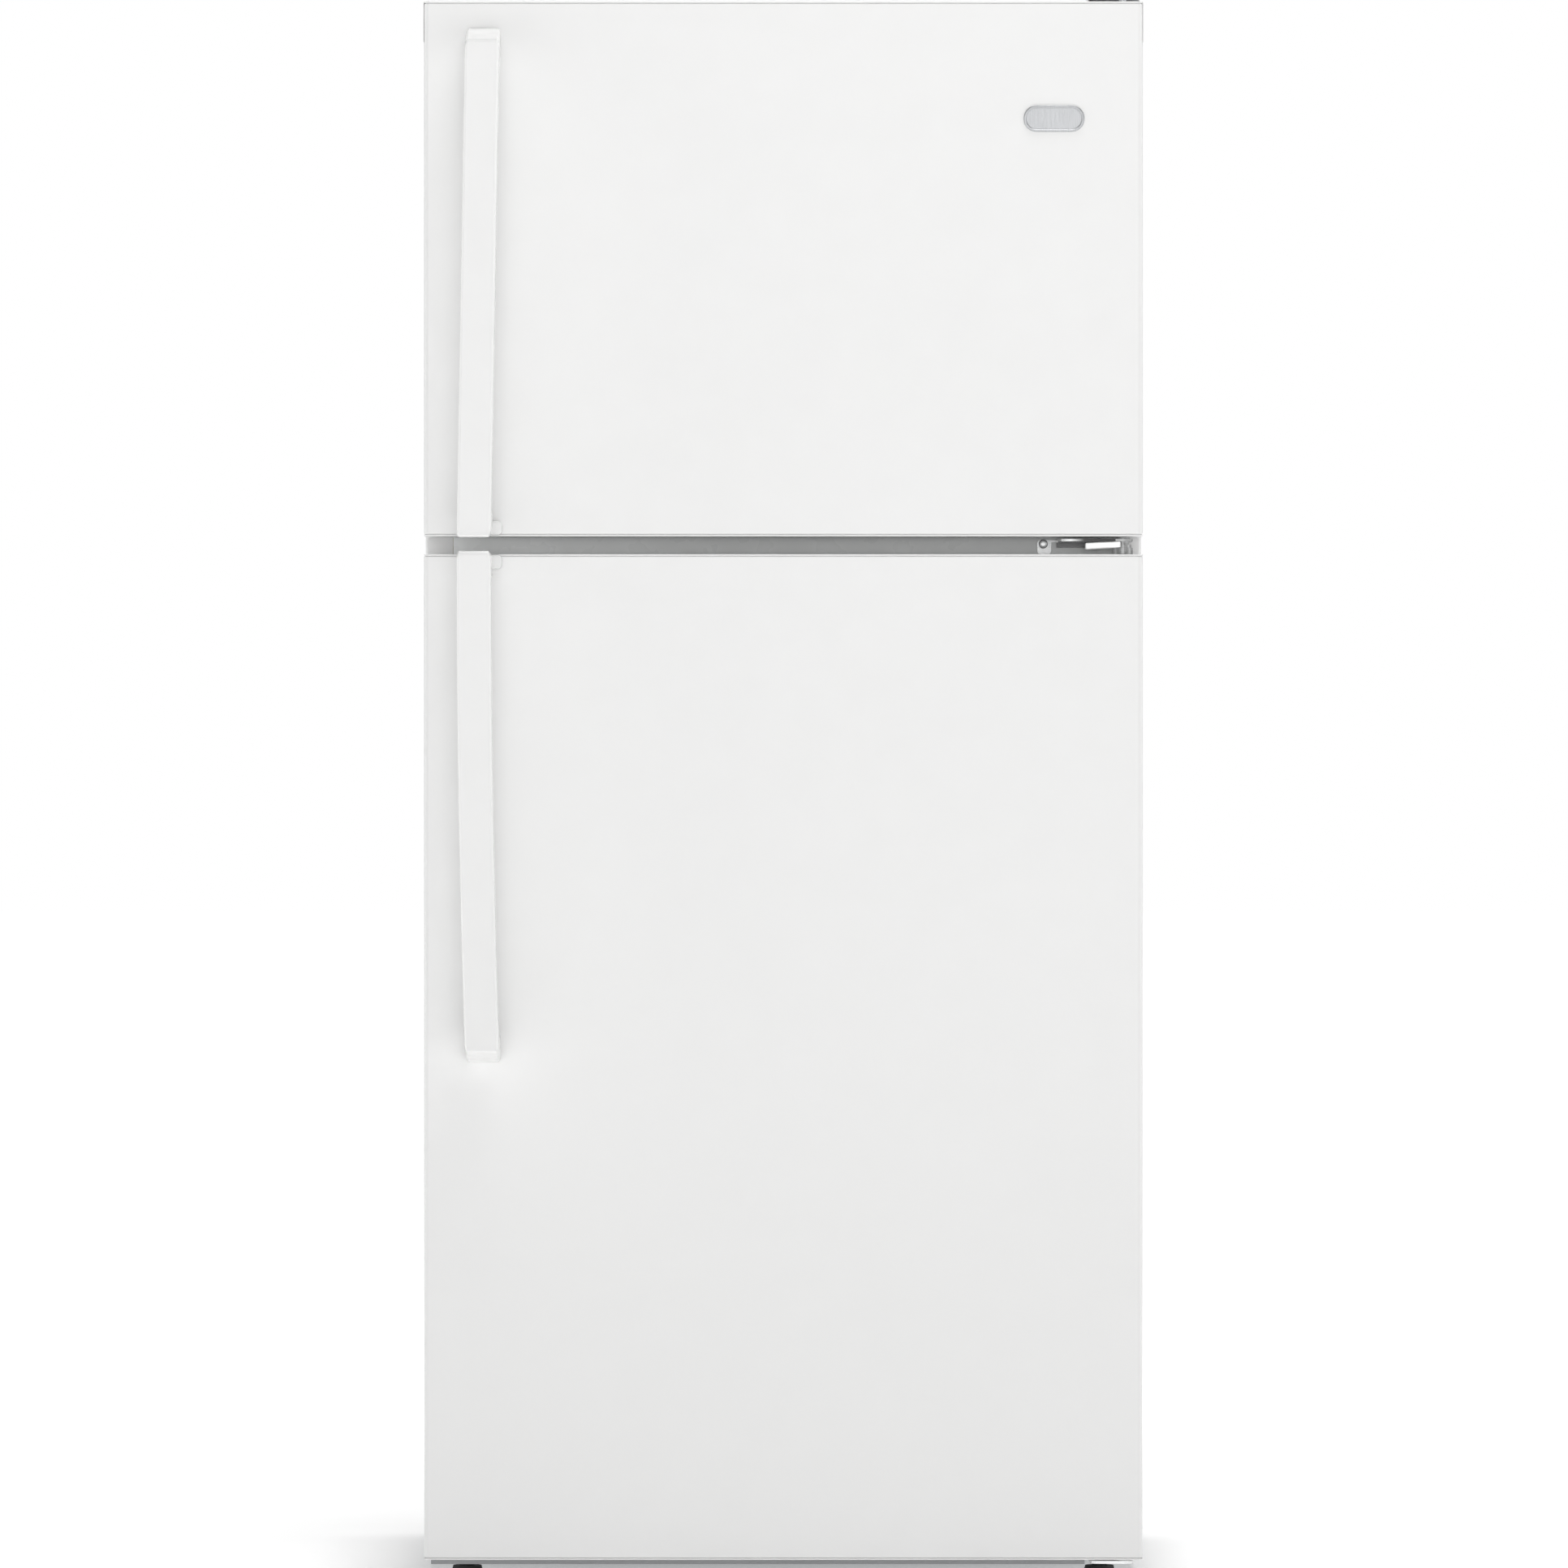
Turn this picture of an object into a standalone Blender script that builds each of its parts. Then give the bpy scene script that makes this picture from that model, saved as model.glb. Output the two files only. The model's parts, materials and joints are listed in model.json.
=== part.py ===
"""A 30-inch top freezer refrigerator, in metres, +Z up.

The origin is on the floor under the middle of the whole. The doors face -Y and hang on hinges at the
+X side. The cabinet is a steel wrap, plastic liners and the foam between them; each door is a steel
skin with end caps, foam, a formed liner and a gasket. Both doors turn on one vertical line.
"""

import math

import bmesh
import bpy
from mathutils import Matrix, Vector

# ---------------------------------------------------------------- driving dimensions
GAP = 0.0003  # clearance kept between neighbouring solids
SHEET = 0.001  # steel skins
LINER = 0.0015  # formed plastic liners
PAST = 0.05  # how far a cutter runs past a face

CASE_HALF = 0.3778
CASE_TOP = 1.668
CASE_BOTTOM = 0.030
CASE_FRONT = -0.280
CASE_BACK = 0.424
FLANGE = 0.0287  # front flange of the wrap, turned inward

CAVITY_HALF = 0.335
FREEZER_FLOOR = 1.138
FREEZER_CEILING = 1.625
FREEZER_BACK = 0.345
FRIDGE_FLOOR = 0.155
FRIDGE_CEILING = 1.043
FRIDGE_BACK = 0.365
RIM = 0.0138  # flat rim of a liner, in the plane of the flange
STEP_FRONT = 0.150  # the fridge liner steps up over the machine compartment
STEP_TOP = 0.290
FOAM_BOTTOM = 0.100
MACHINE_FRONT = 0.170
MACHINE_TOP = 0.268

RAIL_LOW = FRIDGE_CEILING + RIM + GAP
RAIL_HIGH = FREEZER_FLOOR - RIM - GAP
BASE_LOW = 0.036
BASE_HIGH = FOAM_BOTTOM - GAP
GRILLE_FRONT = -0.2905
GRILLE_LOW = 0.0165
GRILLE_HIGH = 0.092
GRILLE_WALL = 0.006

DOOR_HALF = 0.377
DOOR_FRONT = -0.360
DOOR_BACK = -0.2945
DOOR_CORNER = 0.005
FREEZER_DOOR = (1.100, 1.661)
FRIDGE_DOOR = (0.026, 1.081)
LIP = 0.0016  # visible edge of an end cap
PLUG = 0.012  # depth that a cap reaches into the skin
BACK_WINDOW = 0.340
GASKET_OUT = 0.358
GASKET_IN = 0.336
GASKET_BACK = CASE_FRONT - GAP
PLATE_FRONT = DOOR_BACK + GAP
PLATE_BACK = PLATE_FRONT + LINER
DYKE_HALF = 0.318
DYKE_BACK = -0.235
DYKE_ROUND = 0.006
RECESS_HALF = 0.285
RECESS_FRONT = -0.3015
FREEZER_DYKE = (1.150, 1.613)
FREEZER_RECESS = (1.172, 1.591)
FREEZER_GASKET = (1.112, 1.652)
FRIDGE_DYKE = (0.167, 1.031)
FRIDGE_RECESS = (0.189, 1.009)
FRIDGE_GASKET = (0.112, 1.069)

HINGE_X = 0.357
HINGE_Y = -0.327
PIN = 0.004
BOSS = 0.009
BOSS_DEPTH = 0.026

HANDLE_FRONT = -0.424
HANDLE_HALF = 0.018
HANDLE_DEPTH = 0.022
HANDLE_EDGE = 0.0026  # width of the bevel along each side of the bar
HANDLE_SHOULDER = 0.86  # share of the bar's depth at which that bevel starts
HANDLE_FAR_X = -0.3145
HANDLE_GAP_X = -0.3232
FREEZER_HANDLE_END = 1.617
FRIDGE_HANDLE_END = 0.560

SHELF_HALF = 0.332
SHELF_THICK = 0.005
SHELF_FRONT = -0.168
SHELF_LEVELS = {"shelf_upper": 0.800, "shelf_lower": 0.585}
COVER_LEVEL = 0.352
FREEZER_SHELF_LEVEL = 1.365
LEDGE_WIDE = 0.009
LEDGE_TALL = 0.008

LEG_X = 0.335
LEG_Y = -0.235
ROLLER_Y = 0.345
ROLLER_RADIUS = 0.020
AXLE = 0.004

FAN_X = 0.0
FAN_Z = 1.500
EVAPORATOR_COVER = 0.262
EVAPORATOR_FAN_Y = 0.286
MACHINE_FAN = (0.045, 0.300, 0.150)
COMPRESSOR = (0.215, 0.300)
DAIRY_LOW = 0.845
DAIRY_HIGH = 0.962
DAIRY_FLOOR_BACK = -0.206
DAIRY_ROOF_BACK = -0.214
LID_AXIS = (-0.2035, 0.957)

CONTROL_FACE = -0.195
CONTROL_LEVEL = 1.016
KNOB_X = 0.080
SWITCH_X = 0.160
GLAND = (-0.325, 0.080)

HINGE_FACE = -0.2835  # front of the hinge's upright parts, on the rail
BOLT = (0.2745, 1.0935)
STOP_X = (0.3172, 0.3540)
STOP_LEFT = (1.0862, 1.0931)  # bottom and top of the stop at its two ends
STOP_RIGHT = (1.0884, 1.0948)
# washers on the centre pin, from the plate down to the lower door: radius, bottom and top
CENTRE_RINGS = ((0.0064, 1.0916, 1.0954), (0.0090, 1.0880, 1.0920), (0.0105, 1.0816, 1.0884))
BADGE_X = (0.252, 0.316)
BADGE_Z = (1.524, 1.552)
BADGE_THICK = 0.0016

# slot: base colour, roughness, metallic
FINISHES = {
    "white_enamel": ((0.88, 0.88, 0.87), 0.32, 0.0),
    "white_trim": ((0.88, 0.88, 0.87), 0.35, 0.0),
    "white_handle": ((0.89, 0.89, 0.88), 0.30, 0.0),
    "liner_plastic": ((0.90, 0.90, 0.88), 0.40, 0.0),
    "gasket_vinyl": ((0.80, 0.80, 0.78), 0.60, 0.0),
    "rail_grey": ((0.38, 0.39, 0.39), 0.45, 0.0),
    "hinge_steel": ((0.62, 0.63, 0.64), 0.38, 0.8),
    "clear_plastic": ((0.86, 0.90, 0.92), 0.12, 0.0),
    "shelf_glass": ((0.80, 0.88, 0.86), 0.05, 0.0),
    "shelf_wire": ((0.86, 0.86, 0.85), 0.35, 0.0),
    "grey_plastic": ((0.45, 0.46, 0.47), 0.50, 0.0),
    "dark_plastic": ((0.06, 0.06, 0.065), 0.50, 0.0),
    "lamp_lens": ((0.93, 0.92, 0.88), 0.25, 0.0),
    "foam": ((0.80, 0.70, 0.42), 0.90, 0.0),
    "galvanised": ((0.58, 0.60, 0.61), 0.42, 0.9),
    "black_enamel": ((0.03, 0.03, 0.03), 0.35, 0.0),
    "aluminium": ((0.75, 0.76, 0.77), 0.35, 1.0),
    "fibreboard": ((0.20, 0.17, 0.14), 0.85, 0.0),
    "black_rubber": ((0.03, 0.03, 0.03), 0.75, 0.0),
    "badge_silver": ((0.66, 0.67, 0.69), 0.30, 0.9),
}


# ---------------------------------------------------------------- helpers
def clear_scene():
    for obj in list(bpy.data.objects):
        bpy.data.objects.remove(obj, do_unlink=True)


def new_collection(name):
    found = bpy.data.collections.new(name)
    bpy.context.scene.collection.children.link(found)
    return found


def finish_of(slot):
    """The material of a slot, made at its first use."""
    if slot in bpy.data.materials:
        return bpy.data.materials[slot]
    colour, roughness, metallic = FINISHES[slot]
    made = bpy.data.materials.new(slot)
    made.use_nodes = True
    shader = made.node_tree.nodes["Principled BSDF"]
    shader.inputs["Base Color"].default_value = (*colour, 1.0)
    shader.inputs["Roughness"].default_value = roughness
    shader.inputs["Metallic"].default_value = metallic
    return made


def add_object(name, bm, slot):
    """An object from a bmesh: a piece if it has a slot, a cutter if it has none."""
    bmesh.ops.recalc_face_normals(bm, faces=bm.faces)
    mesh = bpy.data.meshes.new(name)
    bm.to_mesh(mesh)
    bm.free()
    obj = bpy.data.objects.new(name, mesh)
    if slot is None:
        CUTTERS.objects.link(obj)
        obj.hide_render = True
        obj.display_type = "WIRE"
    else:
        PIECES.objects.link(obj)
        mesh.materials.append(finish_of(slot))
    return obj


def edge_axis(edge):
    along = edge.verts[1].co - edge.verts[0].co
    return "XYZ"[max(range(3), key=lambda i: abs(along[i]))]


def add_box(bm, low, high):
    made = bmesh.ops.create_cube(bm, size=1.0)["verts"]
    for vert in made:
        for i in range(3):
            vert.co[i] = low[i] + (vert.co[i] + 0.5) * (high[i] - low[i])
    return made


def block(name, low, high, slot=None, radius=0.0, along="XYZ", where=None, segments=2):
    """A box between two corners; edges along the named axes, where wanted, are rounded."""
    bm = bmesh.new()
    add_box(bm, low, high)
    round_edges(bm, radius, along, where, segments)
    return add_object(name, bm, slot)


def round_edges(bm, radius, along="XYZ", where=None, segments=2):
    if not radius:
        return
    chosen = [e for e in bm.edges if edge_axis(e) in along]
    if where:
        chosen = [e for e in chosen if where((e.verts[0].co + e.verts[1].co) / 2)]
    bmesh.ops.bevel(
        bm, geom=chosen, offset=radius, segments=segments, profile=0.5, affect="EDGES"
    )


def blocks(name, corners, slot=None):
    """Several separate boxes in one object, for a cutter or for a union."""
    bm = bmesh.new()
    for low, high in corners:
        add_box(bm, low, high)
    return add_object(name, bm, slot)


def cylinder(name, centre, radius, length, axis="Z", slot=None, sides=20, tip=None):
    """A cylinder centred on a point; tip is the radius at its + end."""
    bm = bmesh.new()
    bmesh.ops.create_cone(
        bm,
        cap_ends=True,
        segments=sides,
        radius1=radius,
        radius2=radius if tip is None else tip,
        depth=length,
    )
    turn = {
        "X": Matrix.Rotation(math.pi / 2, 4, "Y"),
        "Y": Matrix.Rotation(-math.pi / 2, 4, "X"),
        "Z": Matrix.Identity(4),
    }[axis]
    bmesh.ops.transform(bm, matrix=Matrix.Translation(centre) @ turn, verts=bm.verts)
    obj = add_object(name, bm, slot)
    smooth(obj)
    return obj


def smooth(obj, angle=35):
    obj.data.shade_smooth()
    obj.data.set_sharp_from_angle(angle=math.radians(angle))


def boolean(piece, operation, others):
    """Cuts or joins other objects, which then follow the piece wherever it is posed."""
    for other in others:
        other.parent = piece
        other.matrix_parent_inverse = piece.matrix_basis.inverted()
        modifier = piece.modifiers.new(operation.lower(), "BOOLEAN")
        modifier.operation = operation
        modifier.object = other
        modifier.solver = "EXACT"
    return piece


def cut(piece, *others):
    return boolean(piece, "DIFFERENCE", others)


def join(piece, *others):
    return boolean(piece, "UNION", others)


def turned(name, profile, centre, axis="Z", slot=None, steps=24):
    """A solid of revolution: (radius, height) points from the top outside down to the bottom."""
    mesh = bpy.data.meshes.new(name)
    mesh.from_pydata([(r, 0, h) for r, h in profile], [(i, i + 1) for i in range(len(profile) - 1)], [])
    obj = bpy.data.objects.new(name, mesh)
    screw = obj.modifiers.new("turn", "SCREW")
    screw.steps = steps
    screw.render_steps = steps
    screw.use_merge_vertices = True
    screw.merge_threshold = 0.00005
    obj.location = centre
    obj.rotation_euler = {
        "X": (0, math.pi / 2, 0),
        "Y": (-math.pi / 2, 0, 0),
        "Z": (0, 0, 0),
    }[axis]
    if slot is None:
        CUTTERS.objects.link(obj)
        obj.hide_render = True
        obj.display_type = "WIRE"
    else:
        PIECES.objects.link(obj)
        mesh.materials.append(finish_of(slot))
    return obj


def tube(name, points, radius, slot, sides_level=1):
    """A round tube along points, closed at both ends."""
    curve = bpy.data.curves.new(name, "CURVE")
    curve.dimensions = "3D"
    curve.bevel_depth = radius
    curve.bevel_resolution = sides_level
    curve.use_fill_caps = True
    spline = curve.splines.new("POLY")
    spline.points.add(len(points) - 1)
    for point, place in zip(spline.points, points):
        point.co = (*place, 1.0)
    curve.materials.append(finish_of(slot))
    obj = bpy.data.objects.new(name, curve)
    PIECES.objects.link(obj)
    return obj


def set_origin(obj, point):
    """Moves an object's origin to a point of its joint's axis, leaving its shape where it is."""
    back = Matrix.Translation(-Vector(point))
    obj.data.transform(back)
    obj.location = point
    for child in obj.children:
        child.matrix_parent_inverse = back
    return obj


def hang_on(pivot, pieces):
    """Parents a door's pieces to the empty on its hinge line."""
    for piece in pieces:
        piece.parent = pivot
        piece.matrix_parent_inverse = Matrix.Translation(-pivot.location)


def tray(name, low, high, wall, slot, radius=0.006, front_cut=None):
    """A bin that is open at the top; front_cut lowers its front wall."""
    body = block(name, low, high, slot, radius, "Z", segments=2)
    inner_low = [low[0] + wall, low[1] + wall, low[2] + wall]
    inner_high = [high[0] - wall, high[1] - wall, high[2] + PAST]
    cut(body, block(f"{name}_hollow", inner_low, inner_high, None, radius - wall / 2, "Z"))
    if front_cut:
        cut(body, block(f"{name}_dip", *front_cut))
    return body


# ---------------------------------------------------------------- cabinet
def outer_case():
    """Steel wrap: top and two sides in one sheet, with flanges turned in at the front."""
    wrap = block(
        "outer_case",
        (-CASE_HALF, CASE_FRONT, CASE_BOTTOM),
        (CASE_HALF, CASE_BACK - SHEET - GAP, CASE_TOP),
        "white_enamel",
        0.004,
        "Y",
        lambda mid: mid.z > CASE_TOP / 2,
        3,
    )
    inside = block(
        "case_inside",
        (-CASE_HALF + SHEET, CASE_FRONT + SHEET, CASE_BOTTOM - PAST),
        (CASE_HALF - SHEET, CASE_BACK + PAST, CASE_TOP - SHEET),
        None,
        0.003,
        "Y",
        lambda mid: mid.z > CASE_TOP / 2,
        3,
    )
    window = block(
        "case_window",
        (-CASE_HALF + FLANGE, CASE_FRONT - PAST, CASE_BOTTOM - PAST),
        (CASE_HALF - FLANGE, CASE_FRONT + 0.01, CASE_TOP - FLANGE),
    )
    return cut(wrap, inside, window)


def back_panel():
    half = CASE_HALF - 0.0015
    return block(
        "back_panel",
        (-half, CASE_BACK - SHEET, MACHINE_TOP),
        (half, CASE_BACK, CASE_TOP - 0.0015),
        "galvanised",
        0.004,
        "Y",
    )


def freezer_space(grow):
    """Corners of the freezer cavity, grown by a wall."""
    return (
        (-CAVITY_HALF - grow, CASE_FRONT - PAST, FREEZER_FLOOR - grow),
        (CAVITY_HALF + grow, FREEZER_BACK + grow, FREEZER_CEILING + grow),
    )


def fridge_space(grow):
    """Corners of the two blocks that make the fridge cavity: below and above the step."""
    below = (
        (-CAVITY_HALF - grow, CASE_FRONT - PAST, FRIDGE_FLOOR - grow),
        (CAVITY_HALF + grow, STEP_FRONT + grow, STEP_TOP + 0.05),
    )
    above = (
        (-CAVITY_HALF - grow, CASE_FRONT - PAST, STEP_TOP - grow),
        (CAVITY_HALF + grow, FRIDGE_BACK + grow, FRIDGE_CEILING + grow),
    )
    return below, above


def trimmed(corners, front):
    """The same block, started at a given front plane."""
    low, high = corners
    return (low[0], front, low[2]), high


def cabinet_foam():
    half = CASE_HALF - SHEET - GAP
    front = CASE_FRONT + LINER + GAP
    foam = block(
        "cabinet_foam",
        (-half, front, FOAM_BOTTOM),
        (half, CASE_BACK - SHEET - GAP, CASE_TOP - SHEET - GAP),
        "foam",
        0.0035,
        "Y",
        lambda mid: mid.z > CASE_TOP / 2,
        3,
    )
    grow = LINER + GAP
    below, above = fridge_space(grow)
    machine = (
        (-half - PAST, MACHINE_FRONT, FOAM_BOTTOM - PAST),
        (half + PAST, CASE_BACK + PAST, MACHINE_TOP),
    )
    return cut(
        foam,
        block("foam_freezer_space", *freezer_space(grow)),
        block("foam_fridge_below", *below),
        block("foam_fridge_above", *above),
        block("foam_machine_space", *machine),
    )


def ledge_boxes(level, front, back):
    """Corners of the pair of ledges that carry a shelf at this level."""
    outer = CAVITY_HALF + LINER / 2
    inner = CAVITY_HALF - LEDGE_WIDE
    low, high = level - LEDGE_TALL, level - GAP
    return [
        ((-outer, front, low), (-inner, back, high)),
        ((inner, front, low), (outer, back, high)),
    ]


def rim_box(low, high):
    edge = CAVITY_HALF + RIM
    return (-edge, CASE_FRONT, low - RIM), (edge, CASE_FRONT + LINER, high + RIM)


def freezer_liner():
    liner = block(
        "freezer_liner",
        *trimmed(freezer_space(LINER), CASE_FRONT),
        "liner_plastic",
    )
    join(liner, block("freezer_rim", *rim_box(FREEZER_FLOOR, FREEZER_CEILING)))
    cut(liner, block("freezer_cavity", *freezer_space(0.0), None, 0.012, "Y", segments=3))
    ledges = ledge_boxes(FREEZER_SHELF_LEVEL, -0.180, EVAPORATOR_COVER - 0.006)
    return join(liner, blocks("freezer_ledges", ledges))


def fridge_liner():
    below, above = fridge_space(LINER)
    liner = block("fridge_liner", *trimmed(above, CASE_FRONT), "liner_plastic")
    join(
        liner,
        block("fridge_liner_below", *trimmed(below, CASE_FRONT)),
        block("fridge_rim", *rim_box(FRIDGE_FLOOR, FRIDGE_CEILING)),
    )
    below, above = fridge_space(0.0)
    cut(
        liner,
        block("fridge_cavity_above", *above),
        block("fridge_cavity_below", *below),
    )
    ledges = ledge_boxes(COVER_LEVEL, SHELF_FRONT, FRIDGE_BACK - 0.012)
    for level in SHELF_LEVELS.values():
        ledges += ledge_boxes(level, SHELF_FRONT + 0.004, FRIDGE_BACK - 0.012)
    return join(liner, blocks("fridge_ledges", ledges))


def mullion_rail():
    """Steel rail between the two openings, which both gaskets close on."""
    half = CASE_HALF - FLANGE - GAP
    return block(
        "mullion_rail",
        (-half, CASE_FRONT, RAIL_LOW),
        (half, CASE_FRONT + LINER, RAIL_HIGH),
        "rail_grey",
    )


def base_frame():
    """Steel base: a tray with a tall front rail, nut bosses for the legs and ears for the rollers."""
    half = CASE_HALF - SHEET - GAP
    back = CASE_BACK - 0.0055
    front = CASE_FRONT + LINER + GAP
    frame = block("base_frame", (-half, front, BASE_LOW), (half, back, BASE_HIGH), "galvanised")
    hollow = block(
        "base_hollow",
        (-half + LINER, front + LINER, BASE_LOW + LINER),
        (half - LINER, back - LINER, BASE_HIGH + PAST),
    )
    rear_dip = block(
        "base_rear_dip",
        (-half + 0.02, back - 0.01, BASE_LOW + 0.012),
        (half - 0.02, back + PAST, BASE_HIGH + PAST),
    )
    cut(frame, hollow, rear_dip)
    rail_half = CASE_HALF - FLANGE - GAP
    rail = block(
        "base_rail",
        (-rail_half, CASE_FRONT, BASE_LOW),
        (rail_half, front + LINER / 2, FRIDGE_FLOOR - RIM - GAP),
    )
    foam_room = block(
        "base_foam_room",
        (-rail_half - PAST, front - GAP, BASE_HIGH),
        (rail_half + PAST, CASE_BACK, CASE_TOP),
    )
    inlet = block(
        "base_inlet",
        (-0.300, CASE_FRONT - PAST, BASE_LOW + 0.014),
        (0.290, front + 0.01, BASE_HIGH - 0.012),
    )
    join(frame, rail)
    cut(frame, foam_room, inlet)
    for side in (-1, 1):
        x = side * LEG_X
        boss = cylinder(f"leg_boss_{side}", (x, LEG_Y, BASE_LOW + 0.004), 0.011, 0.016, sides=16)
        bore = cylinder(f"leg_bore_{side}", (x, LEG_Y, BASE_LOW), 0.0055, 0.10, sides=16)
        ears = blocks(
            f"roller_ears_{side}",
            [
                ((x + dx - 0.0015, ROLLER_Y - 0.012, 0.010), (x + dx + 0.0015, ROLLER_Y + 0.012, 0.0365))
                for dx in (-0.0155, 0.0155)
            ],
        )
        slot = block(
            f"roller_slot_{side}",
            (x - 0.0125, ROLLER_Y - 0.026, BASE_LOW - 0.01),
            (x + 0.0125, ROLLER_Y + 0.026, BASE_LOW + 0.02),
        )
        axle_bore = cylinder(
            f"axle_bore_{side}", (x, ROLLER_Y, ROLLER_RADIUS), AXLE + GAP, 0.06, "X", sides=16
        )
        join(frame, boss, ears)
        cut(frame, bore, slot, axle_bore)
    return frame


def base_grille():
    """Louvred strip in front of the air inlet, reaching down below the bottom of the door."""
    low, high = (-0.372, GRILLE_FRONT, GRILLE_LOW), (0.318, CASE_FRONT - GAP, GRILLE_HIGH)
    grille = block("base_grille", low, high, "grey_plastic", 0.002, "X")
    hollow = block(
        "grille_hollow",
        (low[0] + GRILLE_WALL, GRILLE_FRONT + 0.003, GRILLE_LOW + GRILLE_WALL),
        (high[0] - GRILLE_WALL, CASE_FRONT + PAST, GRILLE_HIGH - GRILLE_WALL),
    )
    rows, columns = 4, 3
    first_x, first_z = low[0] + 0.014, GRILLE_LOW + 0.0138
    pitch_x, pitch_z = 0.223, 0.0135
    slots = []
    for row in range(rows):
        z = first_z + row * pitch_z
        for column in range(columns):
            x = first_x + column * pitch_x
            slots.append(((x, GRILLE_FRONT - 0.01, z), (x + 0.210, GRILLE_FRONT + 0.01, z + 0.0075)))
    return cut(grille, hollow, blocks("grille_slots", slots))


def top_hinge():
    plate = block(
        "top_hinge",
        (0.328, -0.342, CASE_TOP + GAP),
        (0.3745, -0.205, CASE_TOP + 0.0033),
        "hinge_steel",
        0.008,
        "Z",
    )
    pin = cylinder("top_hinge_pin", (HINGE_X, HINGE_Y, 1.6555), PIN, 0.029, sides=16)
    return join(plate, pin)


def top_hinge_cover():
    low, high = (0.322, -0.350, CASE_TOP + 2 * GAP), (0.3770, -0.192, 1.680)
    cover = block("top_hinge_cover", low, high, "white_trim", 0.004, "XYZ", lambda m: m.z > 1.675)
    hollow = block(
        "cover_hollow",
        (low[0] + 0.002, low[1] + 0.002, low[2] - PAST),
        (high[0] - 0.002, high[1] - 0.002, high[2] - 0.003),
        None,
        0.003,
        "Z",
    )
    return cut(cover, hollow)


def centre_hinge():
    """Bracket between the doors: a level plate with a tongue down the rail, a pin through both doors."""
    level_low, level_high = 1.0952, 1.0978
    front = CASE_FRONT - GAP
    plate = block(
        "centre_hinge",
        (0.2895, -0.337, level_low),
        (0.3676, front, level_high),
        "hinge_steel",
        0.010,
        "Z",
        lambda mid: mid.y < -0.33,
    )
    tongue = block(
        "hinge_tongue", (0.2680, HINGE_FACE, 1.0826), (0.2830, front, level_high), None, 0.003, "Y"
    )
    arm = block("hinge_arm", (0.2765, HINGE_FACE, level_low), (0.300, front, level_high))
    leg = block("hinge_leg", (0.2885, HINGE_FACE, 1.0897), (0.352, front, level_high - 0.001))
    pin = cylinder("centre_pin", (HINGE_X, HINGE_Y, 1.090), PIN, 0.054, sides=16)
    rings = []
    for i, (radius, low, high) in enumerate(CENTRE_RINGS):
        middle = (HINGE_X, HINGE_Y, (low + high) / 2)
        rings.append(cylinder(f"hinge_ring_{i}", middle, radius, high - low, sides=20))
    upper_ring = cylinder("hinge_ring_top", (HINGE_X, HINGE_Y, 1.0984), 0.0075, 0.0020, sides=20)
    return join(plate, tongue, arm, leg, pin, *rings, upper_ring)


def centre_hinge_bolt():
    """Round-headed bolt on the tongue, its shank through the rail."""
    x, z = BOLT
    y = HINGE_FACE - GAP
    head = cylinder("centre_hinge_bolt", (x, y - 0.0015, z), 0.0047, 0.003, "Y", "galvanised")
    crown = cylinder("bolt_crown", (x, y - 0.0038, z), 0.0024, 0.0025, "Y", tip=0.0038)
    return join(head, crown)


def centre_hinge_stop():
    """White block clipped under the plate, rising to the right, its arm running in front of the pin."""
    left, right = STOP_X
    corner = 0.3450
    front, arm_back, back = -0.3520, -0.3385, -0.3255
    outline = [(left, front), (right, front), (right, arm_back)]
    outline += [(corner, arm_back), (corner, back), (left, back)]
    bm = bmesh.new()
    rings = []
    for at_left, at_right in zip(STOP_LEFT, STOP_RIGHT):
        ring = []
        for x, y in outline:
            along = (x - left) / (right - left)
            ring.append(bm.verts.new((x, y, at_left + (at_right - at_left) * along)))
        rings.append(ring)
    lower, upper = rings
    bm.faces.new(reversed(lower))
    bm.faces.new(upper)
    for i in range(len(outline)):
        j = (i + 1) % len(outline)
        bm.faces.new((lower[i], lower[j], upper[j], upper[i]))
    round_edges(bm, 0.0008, segments=1)
    return add_object("centre_hinge_stop", bm, "white_trim")


def bottom_hinge():
    plate = block(
        "bottom_hinge",
        (0.322, -0.340, 0.0205),
        (0.3676, CASE_FRONT - GAP, 0.0235),
        "hinge_steel",
        0.008,
        "Z",
        lambda mid: mid.y < -0.33,
    )
    leg = block("bottom_hinge_leg", (0.3225, -0.2833, 0.0205), (0.3676, CASE_FRONT - GAP, 0.086))
    pin = cylinder("bottom_pin", (HINGE_X, HINGE_Y, 0.034), PIN, 0.024, sides=16)
    ring = cylinder("bottom_ring", (HINGE_X, HINGE_Y, 0.0242), 0.0075, 0.0024, sides=20)
    return join(plate, leg, pin, ring)


# ---------------------------------------------------------------- inside the cabinet
def evaporator_cover():
    """Panel across the back of the freezer, with an outlet over the fan and a return at the bottom."""
    half = CAVITY_HALF - 0.0008
    y = EVAPORATOR_COVER
    panel = block(
        "evaporator_cover",
        (-half, y, FREEZER_FLOOR + 0.0008),
        (half, y + 0.002, FREEZER_CEILING - 0.0008),
        "liner_plastic",
        0.013,
        "Y",
    )
    slots = []
    for row in range(7):
        z = FAN_Z - 0.048 + row * 0.0145
        reach = math.sqrt(max(0.055**2 - (z + 0.004 - FAN_Z) ** 2, 0.0))
        slots.append(((-reach, y - 0.01, z), (reach, y + 0.01, z + 0.008)))
    for column in range(12):
        x = -0.270 + column * 0.046
        slots.append(((x, y - 0.01, 1.160), (x + 0.034, y + 0.01, 1.172)))
    return cut(panel, blocks("cover_slots", slots))


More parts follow.
